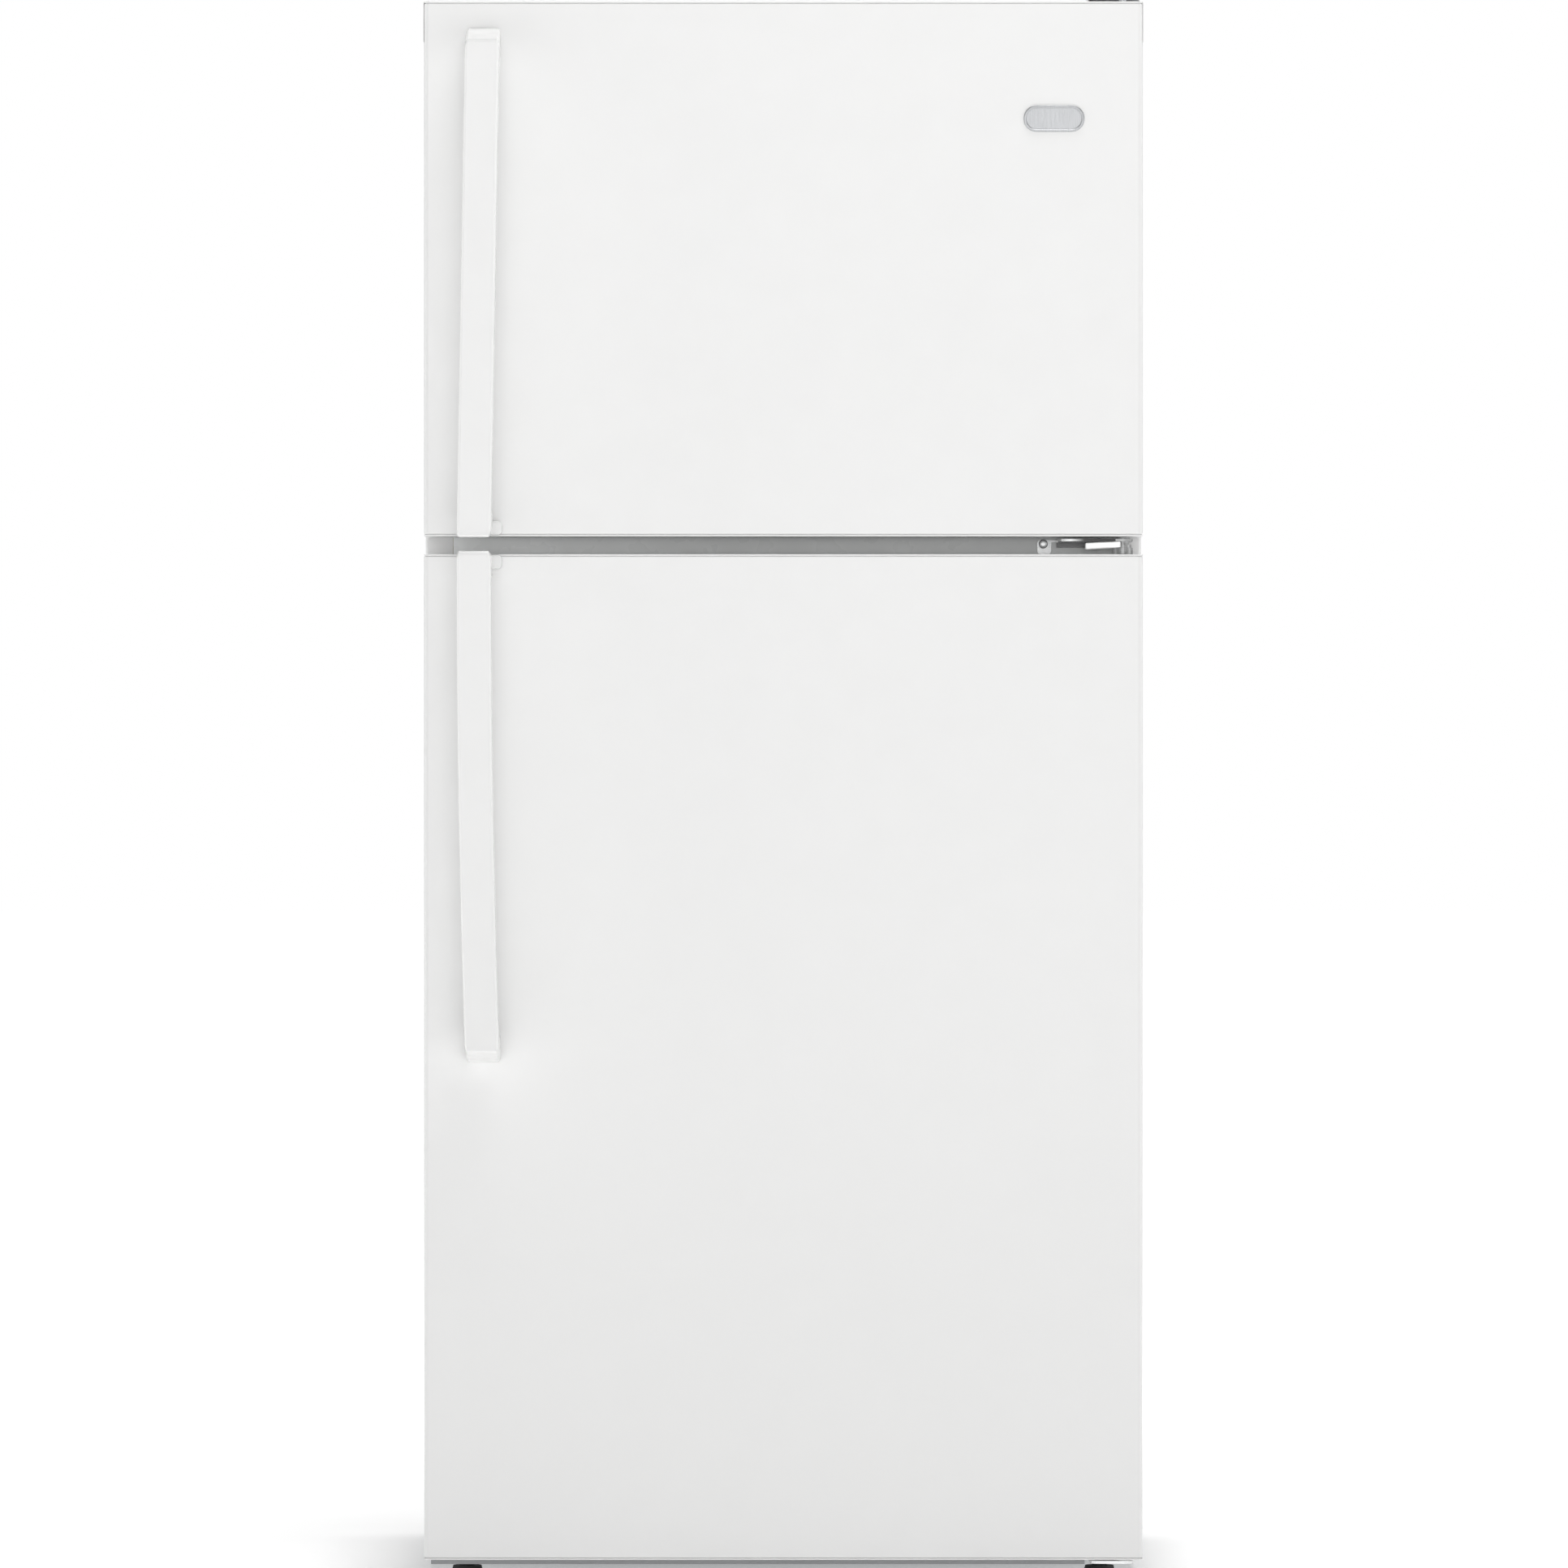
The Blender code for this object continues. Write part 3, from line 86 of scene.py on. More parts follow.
def new_node(tree, kind, **values):
    made = tree.nodes.new(f"ShaderNode{kind}")
    set_inputs(made, **values)
    return made


def object_place(tree):
    """A point's place on its own piece, so that what is drawn there moves with the piece."""
    return new_node(tree, "TexCoord").outputs["Object"]


def noise(tree, scale, detail=2.0, stretch=(1, 1, 1)):
    size = new_node(tree, "Mapping", Scale=stretch)
    found = new_node(tree, "TexNoise", Scale=scale, Detail=detail)
    tree.links.new(object_place(tree), size.inputs["Vector"])
    tree.links.new(size.outputs["Vector"], found.inputs["Vector"])
    return found.outputs["Fac"]


def blend(tree, shader, factor, first, second):
    """Base colour from first to second, each a colour or a socket, as the factor goes from 0 to 1."""
    mix = new_node(tree, "Mix")
    mix.data_type = "RGBA"
    for name, value in (("A", first), ("B", second)):
        if isinstance(value, bpy.types.NodeSocket):
            tree.links.new(value, mix.inputs[name])
        else:
            mix.inputs[name].default_value = (*value, 1.0)
    tree.links.new(factor, mix.inputs["Factor"])
    tree.links.new(mix.outputs["Result"], shader.inputs["Base Color"])


def scaled(colour, share):
    return [min(c * share, 1) for c in colour]


def vary_colour(tree, shader, colour, amount, scale, stretch=(1, 1, 1)):
    """Lets the base colour drift a little either side of its value."""
    drift = noise(tree, scale, 3.0, stretch)
    blend(tree, shader, drift, scaled(colour, 1 - amount), scaled(colour, 1 + amount))


def vary_roughness(tree, shader, low, high, scale, stretch=(1, 1, 1)):
    spread = ramp(tree, noise(tree, scale, 2.0, stretch), 0.3, 0.7, low, high)
    tree.links.new(spread, shader.inputs["Roughness"])


def add_bump(tree, shader, height, strength, distance):
    bump = new_node(tree, "Bump", Strength=strength, Distance=distance)
    tree.links.new(height, bump.inputs["Height"])
    tree.links.new(bump.outputs["Normal"], shader.inputs["Normal"])


def ramp(tree, source, start, end, first=0.0, last=1.0, soft=False):
    """A number that goes from first to last as the source goes from start to end."""
    span = new_node(tree, "MapRange", From_Min=start, From_Max=end, To_Min=first, To_Max=last)
    span.interpolation_type = "SMOOTHSTEP" if soft else "LINEAR"
    tree.links.new(source, span.inputs["Value"])
    return span.outputs["Result"]


def combined(tree, operation, *values):
    """One number from several, two at a time."""
    found = values[0]
    for value in values[1:]:
        step = new_node(tree, "Math")
        step.operation = operation
        tree.links.new(found, step.inputs[0])
        tree.links.new(value, step.inputs[1])
        found = step.outputs["Value"]
    return found


def place_on_piece(tree):
    """X, Y and Z on the piece itself."""
    parts = new_node(tree, "SeparateXYZ")
    tree.links.new(object_place(tree), parts.inputs["Vector"])
    return parts.outputs["X"], parts.outputs["Y"], parts.outputs["Z"]


def tint(tree, shader, mask, colour):
    """Lays another colour over the base colour where the mask is 1."""
    blend(tree, shader, mask, shader.inputs["Base Color"].links[0].from_socket, colour)


def surface(name, colour, roughness, drift, spread, grain, metallic=0.0, stretch=(1, 1, 1)):
    """A material whose colour, roughness and height all vary a little.

    drift: the colour's share, and the scale. spread: how far the roughness falls and rises, and the scale.
    grain: the bump's scale, detail, strength and distance.
    """
    material, tree, shader = shader_of(name, colour, roughness, metallic)
    vary_colour(tree, shader, colour, *drift, stretch)
    fall, rise, scale = spread
    vary_roughness(tree, shader, roughness - fall, roughness + rise, scale, stretch)
    add_bump(tree, shader, noise(tree, *grain[:2], stretch), *grain[2:])
    return material, shader


def enamel(name, colour, roughness, coat=0.25):
    """Baked enamel on sheet steel: faint orange peel under a thin gloss."""
    peel = (420.0, 1.0, 0.06, 0.0004)
    material, shader = surface(name, colour, roughness, (0.006, 3.0), (0.03, 0.03, 40.0), peel)
    set_inputs(shader, Coat_Weight=coat, Coat_Roughness=0.12)
    return material


def moulded(name, colour, roughness, grain=0.10, drift=0.008):
    """Injection moulded plastic with a fine spark-eroded grain."""
    eroded = (1600.0, 2.0, grain, 0.0002)
    return surface(name, colour, roughness, (drift, 9.0), (0.04, 0.04, 60.0), eroded)[0]


def formed(name, colour):
    """Vacuum-formed liner sheet: smooth, with the slow waviness of forming."""
    waves = (55.0, 2.0, 0.08, 0.0008)
    material, shader = surface(name, colour, 0.34, (0.008, 5.0), (0.04, 0.06, 25.0), waves)
    set_inputs(shader, Subsurface_Weight=0.05, Subsurface_Radius=(0.004, 0.004, 0.004))
    return material


def clear(name, colour, roughness, weight=0.85):
    """Clear moulded plastic or glass."""
    material, tree, shader = shader_of(name, colour, roughness)
    set_inputs(shader, Transmission_Weight=weight, IOR=1.5)
    vary_roughness(tree, shader, roughness, roughness + 0.05, 30.0)
    add_bump(tree, shader, noise(tree, 90.0, 1.0), 0.05, 0.0004)
    return material


def brushed(name, colour, roughness, stretch=(1, 40, 40), metallic=1.0):
    """Metal with fine lines along one direction."""
    lines = (60.0, 2.0, 0.08, 0.0003)
    return surface(name, colour, roughness, (0.06, 30.0), (0.08, 0.08, 60.0), lines, metallic, stretch)[0]


def glossy(name, colour, roughness, index, metallic=0.0):
    """Polished plastic or plated steel with a strong highlight."""
    ripple = (500.0, 1.0, 0.03, 0.0002)
    material, shader = surface(name, colour, roughness, (0.01, 12.0), (0.02, 0.04, 90.0), ripple, metallic)
    set_inputs(shader, IOR=index)
    return material


def galvanised(name, colour):
    """Zinc-coated sheet: crystals of slightly different grey."""
    material, tree, shader = shader_of(name, colour, 0.42, 0.85)
    cells = new_node(tree, "TexVoronoi", Scale=120.0, Randomness=1.0)
    tree.links.new(object_place(tree), cells.inputs["Vector"])
    grey = new_node(tree, "RGBToBW")
    tree.links.new(cells.outputs["Color"], grey.inputs["Color"])
    blend(tree, shader, grey.outputs["Val"], scaled(colour, 0.94), scaled(colour, 1.05))
    vary_roughness(tree, shader, 0.40, 0.48, 35.0)
    add_bump(tree, shader, cells.outputs["Distance"], 0.05, 0.0003)
    return material


def fibre(name, colour):
    """Pressed board: short fibres in a dark binder."""
    material, tree, shader = shader_of(name, colour, 0.85)
    vary_colour(tree, shader, colour, 0.35, 220.0, (1, 1, 6))
    vary_roughness(tree, shader, 0.75, 0.95, 80.0)
    add_bump(tree, shader, noise(tree, 500.0, 4.0, (1, 1, 4)), 0.35, 0.0005)
    return material


def rubber(name, colour, roughness=0.62):
    grain = (900.0, 2.0, 0.12, 0.0003)
    return surface(name, colour, roughness, (0.04, 20.0), (0.05, 0.08, 70.0), grain)[0]


def foam_rubber(name, colour):
    material, tree, shader = shader_of(name, colour, 0.9)
    vary_colour(tree, shader, colour, 0.12, 60.0)
    add_bump(tree, shader, noise(tree, 700.0, 4.0), 0.5, 0.0008)
    return material


WHITE = (0.815, 0.815, 0.810)
RAIL_GREY = (0.665, 0.680, 0.673)
LINER_WHITE = (0.83, 0.83, 0.815)
LOOKS = {
    "white_enamel": enamel("enamel_white", WHITE, 0.34),
    "white_trim": moulded("trim_white", (0.80, 0.80, 0.795), 0.38),
    "white_handle": moulded("handle_white", (0.80, 0.80, 0.795), 0.22, 0.03),
    "liner_plastic": formed("liner_white", LINER_WHITE),
    "gasket_vinyl": rubber("gasket_vinyl", (0.72, 0.72, 0.70)),
    "rail_grey": enamel("rail_grey", RAIL_GREY, 0.28, 0.5),
    "hinge_steel": brushed("hinge_zinc", (0.88, 0.89, 0.89), 0.30, metallic=0.25),
    "clear_plastic": clear("bin_clear", (0.94, 0.97, 0.98), 0.06, 0.90),
    "shelf_glass": clear("shelf_glass", (0.93, 0.98, 0.96), 0.02, 1.0),
    "shelf_wire": moulded("wire_coat", (0.82, 0.82, 0.81), 0.30, 0.05),
    "grey_plastic": moulded("grey_plastic", (0.36, 0.37, 0.38), 0.48),
    "dark_plastic": moulded("black_plastic", (0.045, 0.045, 0.048), 0.50, 0.20, 0.1),
    "lamp_lens": clear("lamp_lens", (0.95, 0.94, 0.90), 0.35, 0.55),
    "foam": foam_rubber("foam", (0.78, 0.66, 0.36)),
    "galvanised": galvanised("galvanised_sheet", (0.62, 0.64, 0.65)),
    "black_enamel": enamel("black_paint", (0.022, 0.022, 0.023), 0.33, 0.4),
    "aluminium": brushed("aluminium", (0.78, 0.79, 0.80), 0.32),
    "fibreboard": fibre("fibreboard", (0.17, 0.14, 0.115)),
    "black_rubber": rubber("black_rubber", (0.030, 0.030, 0.030), 0.70),
    "badge_silver": brushed("badge_silver", (0.440, 0.448, 0.460), 0.34, (60, 1, 1), 0.35),
}
# marks on the centre hinge, painted shadow and painted shade among them: their colours, and where each one
# starts and ends along an axis
PAINTED_SHADOW, SHADED, PIN_GREY = (0.030, 0.030, 0.031), (0.115, 0.116, 0.117), (0.43, 0.435, 0.435)
PLATE_LEFT, PLATE_RIGHT = (0.302, 0.316), (0.3505, 0.3490)
PLATE_FRONT, PLATE_ABOVE = (-0.3330, -0.3345), (1.0946, 1.0950)
LEG_LEFT, LEG_FRONT, LEG_BELOW = (0.2865, 0.2875), (-0.2950, -0.2900), (1.0953, 1.0950)
PINS_LEFT = (0.3490, 0.3510)
# painted light: the rail is painted lighter towards the left, where more light reaches it
RAIL_PAINTED_LIGHT, RAIL_SPAN = 1.36, (-0.060, -0.350)  # how much lighter the rail gets, and over which x


def hinge_steel_with_painted_shade():
    """The centre hinge: zinc, a painted shadow along the plate's front edge, painted shade on its leg, grey
    pins.
    """
    material = brushed("centre_hinge_zinc", (0.90, 0.91, 0.91), 0.28, metallic=0.20)
    tree = material.node_tree
    shader = tree.nodes["Principled BSDF"]
    x, y, z = place_on_piece(tree)
    # painted shadow along the plate's front edge, above the stop, and painted shade over the leg
    edge = ((x, PLATE_LEFT), (x, PLATE_RIGHT), (y, PLATE_FRONT), (z, PLATE_ABOVE))
    leg = ((x, LEG_LEFT), (y, LEG_FRONT), (z, LEG_BELOW))
    for marks, colour in ((edge, PAINTED_SHADOW), (leg, SHADED), (((x, PINS_LEFT),), PIN_GREY)):
        mask = combined(tree, "MULTIPLY", *[ramp(tree, axis, *span) for axis, span in marks])
        tint(tree, shader, mask, colour)
    return material


def rail_paint_with_painted_light():
    """Grey paint with painted light: lighter towards the left, where more light falls on the rail."""
    material = enamel("rail_paint_with_painted_light", RAIL_GREY, 0.28, 0.5)
    tree = material.node_tree
    x, _, _ = place_on_piece(tree)
    lighter = [min(c * RAIL_PAINTED_LIGHT, 0.92) for c in RAIL_GREY]
    tint(tree, tree.nodes["Principled BSDF"], ramp(tree, x, *RAIL_SPAN), lighter)
    return material


MARKS = moulded("dial_marks", (0.16, 0.17, 0.18), 0.5)
CENTRE_STEEL = hinge_steel_with_painted_shade()
STOP_WHITE = glossy("stop_white", (0.94, 0.94, 0.935), 0.14, 1.95)
BOLT_ZINC = glossy("bolt_zinc", (0.93, 0.94, 0.94), 0.26, 1.85, 0.3)
# painted shade: the washer is dark to stand for the shade in the ring round the bolt head
WASHER_PAINTED_SHADE = glossy("washer_painted_shade", (0.10, 0.10, 0.102), 0.40, 1.45)
SLOT_OF = {s["node"]: s["material_slot"] for s in frame["record"]["subparts"]}
BODY_OF = {n: body for body, nodes in frame["record"]["behaviour"]["bodies"].items() for n in nodes}


# ---- mesh helpers
def show(obj):
    bpy.context.scene.collection.objects.link(obj)


def place_piece(obj, body, slot, nodes=(), look=None):
    """Gives a new piece its material, picked by its slot unless a look is given, and its body, and hides the
    CAD nodes that it stands for.
    """
    obj.data.materials.clear()
    obj.data.materials.append(look or LOOKS[slot])
    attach(obj, body)
    if nodes:
        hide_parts(*nodes)
    return obj


def applied(obj):
    """Replaces an object's mesh with its evaluated one and clears its modifiers."""
    graph = bpy.context.evaluated_depsgraph_get()
    done = bpy.data.meshes.new_from_object(obj.evaluated_get(graph))
    obj.modifiers.clear()
    obj.data = done
    return obj


def shade(obj, angle=30):
    """Smooth but for edges sharper than the angle; flat faces stay flat beside rounded edges."""
    old = obj.data.attributes.get("custom_normal")
    if old:
        obj.data.attributes.remove(old)
    obj.data.shade_smooth()
    obj.data.set_sharp_from_angle(angle=math.radians(angle))
    even = obj.modifiers.new("even", "WEIGHTED_NORMAL")
    even.mode = "FACE_AREA"
    even.keep_sharp = True
    return applied(obj)


def new_mesh(name, bm, angle=30):
    """An object from a bmesh, shaded by the angle."""
    bmesh.ops.recalc_face_normals(bm, faces=bm.faces)
    mesh = bpy.data.meshes.new(name)
    bm.to_mesh(mesh)
    bm.free()
    obj = bpy.data.objects.new(name, mesh)
    show(obj)
    return shade(obj, angle)


def carve(obj, *others, operation="DIFFERENCE"):
    """Cuts others from an object, or joins them to it, and removes them."""
    for other in others:
        modifier = obj.modifiers.new("carve", "BOOLEAN")
        modifier.operation = operation
        modifier.object = other
        modifier.solver = "EXACT"
    applied(obj)
    for other in others:
        bpy.data.objects.remove(other, do_unlink=True)
    return obj


def soften(obj, width, segments=2, angle=30):
    """Rounds every edge sharper than the angle, then shades smooth."""
    bevel = obj.modifiers.new("soften", "BEVEL")
    bevel.width = width
    bevel.segments = segments
    bevel.limit_method = "ANGLE"
    bevel.angle_limit = math.radians(angle)
    applied(obj)
    return shade(obj, 50)


def edge_axis(edge):
    along = edge.verts[1].co - edge.verts[0].co
    return "XYZ"[max(range(3), key=lambda i: abs(along[i]))]


def add_box(bm, low, high):
    made = bmesh.ops.create_cube(bm, size=1.0)["verts"]
    for vert in made:
        for i in range(3):
            vert.co[i] = low[i] + (vert.co[i] + 0.5) * (high[i] - low[i])
    return made


def round_edges(bm, radius, along="XYZ", where=None, segments=3):
    chosen = [e for e in bm.edges if edge_axis(e) in along]
    if where:
        chosen = [e for e in chosen if where((e.verts[0].co + e.verts[1].co) / 2)]
    bmesh.ops.bevel(bm, geom=chosen, offset=radius, segments=segments, profile=0.5, affect="EDGES")


def join_rings(bm, rings, capped=False):
    """Faces between neighbouring rings of vertices, and over the two end rings where capped."""
    for first, second in zip(rings, rings[1:]):
        for i in range(len(first)):
            j = (i + 1) % len(first)
            bm.faces.new((first[i], first[j], second[j], second[i]))
    if capped:
        bm.faces.new(rings[0])
        bm.faces.new(rings[-1])


def facing_front(x, y, z):
    """Lays what was built about the vertical axis against a plane that faces the front."""
    return Matrix.Translation((x, y, z)) @ Matrix.Rotation(math.pi / 2, 4, "X")


def block(name, low, high, radius=0.0, along="XYZ", where=None, segments=3):
    bm = bmesh.new()
    add_box(bm, low, high)
    if radius:
        round_edges(bm, radius, along, where, segments)
    return new_mesh(name, bm)


def round_bar(bm, centre, radius, length, axis="Z", sides=24, tip=None):
    """Adds a cylinder or cone to a bmesh."""
    end = radius if tip is None else tip
    made = bmesh.ops.create_cone(bm, cap_ends=True, segments=sides, radius1=radius, radius2=end, depth=length)
    made = made["verts"]
    turn = {
        "X": Matrix.Rotation(math.pi / 2, 4, "Y"),
        "Y": Matrix.Rotation(-math.pi / 2, 4, "X"),
        "Z": Matrix.Identity(4),
    }[axis]
    bmesh.ops.transform(bm, matrix=Matrix.Translation(centre) @ turn, verts=made)
    return made


def refined(node, width=0.0006, segments=2, angle=30, look=None):
    """A copy of a CAD node with its triangles merged into faces and its edges rounded."""
    bm = bmesh.new()
    bm.from_mesh(frame["nodes"][node].data)
    bmesh.ops.remove_doubles(bm, verts=bm.verts, dist=0.00002)
    bmesh.ops.dissolve_limit(bm, angle_limit=math.radians(1.0), verts=bm.verts, edges=bm.edges)
    obj = new_mesh(f"{node}_fine", bm)
    if width:
        soften(obj, width, segments, angle)
    return place_piece(obj, BODY_OF[node], SLOT_OF[node], [node], look)


def mesh_of_curve(name, curve, place=Matrix.Identity(4), angle=40):
    """A mesh object from a curve, its caps welded on."""
    drawn = bpy.data.objects.new(name, curve)
    show(drawn)
    graph = bpy.context.evaluated_depsgraph_get()
    mesh = bpy.data.meshes.new_from_object(drawn.evaluated_get(graph))
    bpy.data.objects.remove(drawn, do_unlink=True)
    bm = bmesh.new()
    bm.from_mesh(mesh)
    bmesh.ops.remove_doubles(bm, verts=bm.verts, dist=WELD)
    bmesh.ops.transform(bm, matrix=place, verts=bm.verts)
    return new_mesh(name, bm, angle)


def tubes(name, paths, radius, body, slot, cyclic=False, nodes=()):
    """Round wires along lists of points, as one curve."""
    curve = bpy.data.curves.new(name, "CURVE")
    curve.dimensions = "3D"
    curve.bevel_depth = radius
    curve.bevel_resolution = 3
    curve.use_fill_caps = True
    for points in paths:
        spline = curve.splines.new("POLY")
        spline.points.add(len(points) - 1)
        spline.use_cyclic_u = cyclic
        for point, place in zip(spline.points, points):
            point.co = (*place, 1.0)
    return place_piece(mesh_of_curve(name, curve), body, slot, nodes)


def rounded_corners(low, high, radius, steps=5):
    """Points of a rectangle (two pairs of low and high) with round corners, counter-clockwise."""
    points = []
    corners = ((high[0], high[1], 0), (low[0], high[1], 90), (low[0], low[1], 180), (high[0], low[1], 270))
    for x, z, start in corners:
        cx = x - math.copysign(radius, x - (low[0] + high[0]) / 2)
        cz = z - math.copysign(radius, z - (low[1] + high[1]) / 2)
        for i in range(steps + 1):
            turn = math.radians(start + 90 * i / steps)
            points.append((cx + radius * math.cos(turn), cz + radius * math.sin(turn)))
    return points


def pierced(name, low, high, corner, holes, edge=0.0004):
    """A plate across Y with rounded corners, round-ended holes and softened edges."""
    flat = bpy.data.curves.new(name, "CURVE")
    flat.dimensions = "2D"
    flat.fill_mode = "BOTH"
    flat.extrude = (high.y - low.y) / 2 - edge
    flat.bevel_depth = edge
    flat.bevel_resolution = 1
    flat.offset = -edge
    loops = [rounded_corners((low.x, low.z), (high.x, high.z), corner, 6)]
    for hole_low, hole_high in holes:
        across = min(hole_high[0] - hole_low[0], hole_high[1] - hole_low[1])
        outline = rounded_corners(hole_low, hole_high, across / 2, 4)[::-1]
        loops.append([p for p, q in zip(outline, outline[1:] + outline[:1]) if math.dist(p, q) > WELD])
    for points in loops:
        spline = flat.splines.new("POLY")
        spline.points.add(len(points) - 1)
        spline.use_cyclic_u = True
        for point, (x, z) in zip(spline.points, points):
            point.co = (x, z, 0.0, 1.0)
    return mesh_of_curve(name, flat, facing_front(0, (low.y + high.y) / 2, 0), 50)


def bands(name, boxes, body, slot, width=0.0006):
    """Small raised bars as one piece with softened edges."""
    bm = bmesh.new()
    for low, high in boxes:
        add_box(bm, low, high)
    return place_piece(soften(new_mesh(name, bm), width, 2), body, slot)


# ---- doors
GASKET_CORNER = 0.027
HANDLE_NEAR, HANDLE_FAR = -0.3232, -0.3145  # middle of the bars at the gap and at the far end
HANDLE_ENDS = {"freezer": (1.617, 0.016), "fridge": (0.560, 0.012)}  # height of the far end, and its slope
BAR_DEEP, BAR_HALF = 0.022, 0.018
PLAQUE_ROUND = 0.0138


def door_panel(prefix):
    """Steel skin of a door: a channel in plan, its ends turned over into a soft hem."""
    low, high = SKIN_LOW[prefix].z + SEAM, SKIN_HIGH[prefix].z - SEAM

    def outline(inset):
        """The channel's path at a distance inside its outer face, from flange to flange."""
        x, back, front = DOOR_HALF - inset, DOOR_BACK - inset, DOOR_FRONT + inset
        radius = DOOR_CORNER - inset
        path = [(-0.340, back), (-x + 0.0015, back), (-x, back - 0.0015)]
        for side in (-1, 1):
            turns = range(0, 9) if side < 0 else range(8, -1, -1)
            for i in turns:
                turn = math.pi / 2 * i / 8
                across = side * (x - radius + radius * math.cos(turn))
                path.append((across, front + radius - radius * math.sin(turn)))
        return path + [(x, back - 0.0015), (x - 0.0015, back), (0.340, back)]

    stations = [(HEM, low), (HEM * 0.3, low + HEM * 0.3), (0.0, low + HEM)]
    stations += [(inset, low + high - z) for inset, z in reversed(stations)]
    bm = bmesh.new()
    rings = []
    for inset, z in stations:
        ring = [bm.verts.new((x, y, z)) for x, y in outline(inset)]
        ring += [bm.verts.new((x, y, z)) for x, y in reversed(outline(SHEET))]
        rings.append(ring)
    join_rings(bm, rings)
    count = len(rings[0])
    half = count // 2
    for ring in (rings[0], rings[-1]):
        for i in range(half - 1):
            bm.faces.new((ring[i], ring[i + 1], ring[count - 2 - i], ring[count - 1 - i]))
    obj = new_mesh(f"{prefix}_door_panel", bm, 28)
    return place_piece(obj, DOOR_BODIES[prefix], "white_enamel", [f"{prefix}_door_skin"])


def bellows_gasket(prefix):
    """Soft seal swept round the door: a flat foot, two pleats and the magnet's tube."""
    low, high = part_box(f"{prefix}_gasket")
    depth = high.y - low.y
    profile = [(0.004, 0.0), (0.018, 0.0), (0.018, 0.10), (0.0135, 0.16), (0.019, 0.30)]
    profile += [(0.0150, 0.44), (0.0215, 0.58), (0.0220, 0.92), (0.0205, 1.0)]
    profile += [(0.0025, 1.0), (0.0, 0.92), (0.0, 0.60), (0.0065, 0.44), (0.0030, 0.28), (0.0065, 0.14)]
    bm = bmesh.new()
    rings = []
    for inset, share in profile:
        near, far = (low.x + inset, low.z + inset), (high.x - inset, high.z - inset)
        outline = rounded_corners(near, far, GASKET_CORNER - inset, 6)
        rings.append([bm.verts.new((x, low.y + depth * share, z)) for x, z in outline])
    join_rings(bm, rings + rings[:1])
    obj = new_mesh(f"{prefix}_gasket_bellows", bm, 40)
    return place_piece(obj, DOOR_BODIES[prefix], "gasket_vinyl", [f"{prefix}_gasket"])


def handle_centre(share, upper):
    """Middle of the bar across the door, by its share of the way from the gap to the far end."""
    return HANDLE_NEAR + (HANDLE_FAR - HANDLE_NEAR) * (share if upper else share**2)


def swept_handle(prefix):
    """Bar handle: a bevelled section carried along a C-shaped path, with rounded ends and a hooked foot."""
    upper = prefix == "freezer"
    sign = 1 if upper else -1
    low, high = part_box(f"{prefix}_handle")
    edge = SKIN_LOW[prefix].z if upper else SKIN_HIGH[prefix].z
    edge -= sign * 0.0019
    near = edge - sign * 0.0028
    far, slope = HANDLE_ENDS[prefix]
    front, face = low.y, high.y
    inner = front + BAR_DEEP
    length = abs(far - near)

    stations = [
        ((face, edge + sign * 0.0235), (face, edge + sign * 0.0010)),
        ((face - 0.020, edge + sign * 0.0225), (face - 0.020, edge - sign * 0.0004)),
        ((inner + 0.012, edge + sign * 0.0225), (front + 0.016, near + sign * 0.0010)),
        ((inner + 0.0075, edge + sign * 0.0235), (front + 0.006, near + sign * 0.0002)),
        ((inner + 0.0035, edge + sign * 0.0260), (front + 0.0022, near + sign * 0.0008)),
        ((inner + 0.0010, edge + sign * 0.0300), (front + 0.0006, near + sign * 0.0028)),
        ((inner, edge + sign * 0.0350), (front, near + sign * 0.0060)),
    ]
    steps = 28
    for i in range(1, steps):
        z = near + sign * (0.038 + (length - 0.078) * i / steps)
        stations.append(((inner, z), (front, z)))
    stations += [
        ((inner, far - sign * 0.0400), (front, far - sign * 0.0050)),
        ((inner + 0.0010, far - sign * 0.0345), (front + 0.0002, far - sign * 0.0022)),
        ((inner + 0.0035, far - sign * 0.0300), (front + 0.0012, far - sign * 0.0004)),
        ((inner + 0.0075, far - sign * 0.0272), (front + 0.0040, far + sign * 0.0008)),
        ((inner + 0.012, far - sign * 0.0258), (front + 0.0120, far + sign * slope * 0.19)),
        ((face, far + sign * (slope - 0.0305)), (face, far + sign * slope)),
    ]
    # across the bar: share of the half width, and share of the way from the inner to the outer point
    section = [(-0.92, 0.0), (-0.98, 0.03), (-1.0, 0.10), (-1.0, 0.80), (-0.985, 0.885)]
    section += [(-0.875, 0.985), (-0.845, 1.0)]
    section += [(-u, v) for u, v in reversed(section)]

    bm = bmesh.new()
    rings = []
    for (inner_y, inner_z), (outer_y, outer_z) in stations:
        ring = []
        for u, share in section:
            y = inner_y + (outer_y - inner_y) * share
            z = inner_z + (outer_z - inner_z) * share
            along = min(max(abs(z - near) / length, 0.0), 1.0)
            ring.append(bm.verts.new((handle_centre(along, upper) + u * BAR_HALF, y, z)))
        rings.append(ring)
    join_rings(bm, rings, capped=True)
    bar = new_mesh(f"{prefix}_bar_handle", bm, 24)

    right = HANDLE_NEAR + BAR_HALF
    foot_low, foot_high = sorted((edge + sign * 0.0012, edge + sign * 0.0155))
    near_corner, far_corner = (right - 0.006, face - 0.012, foot_low), (right + 0.0103, face, foot_high)
    foot = block(f"{prefix}_handle_foot", near_corner, far_corner, 0.0045, "Y", lambda mid: mid.x > right, 5)
    soften(foot, 0.0018, 3)
    place_piece(foot, DOOR_BODIES[prefix], "white_handle")
    return place_piece(bar, DOOR_BODIES[prefix], "white_handle", [f"{prefix}_handle"])


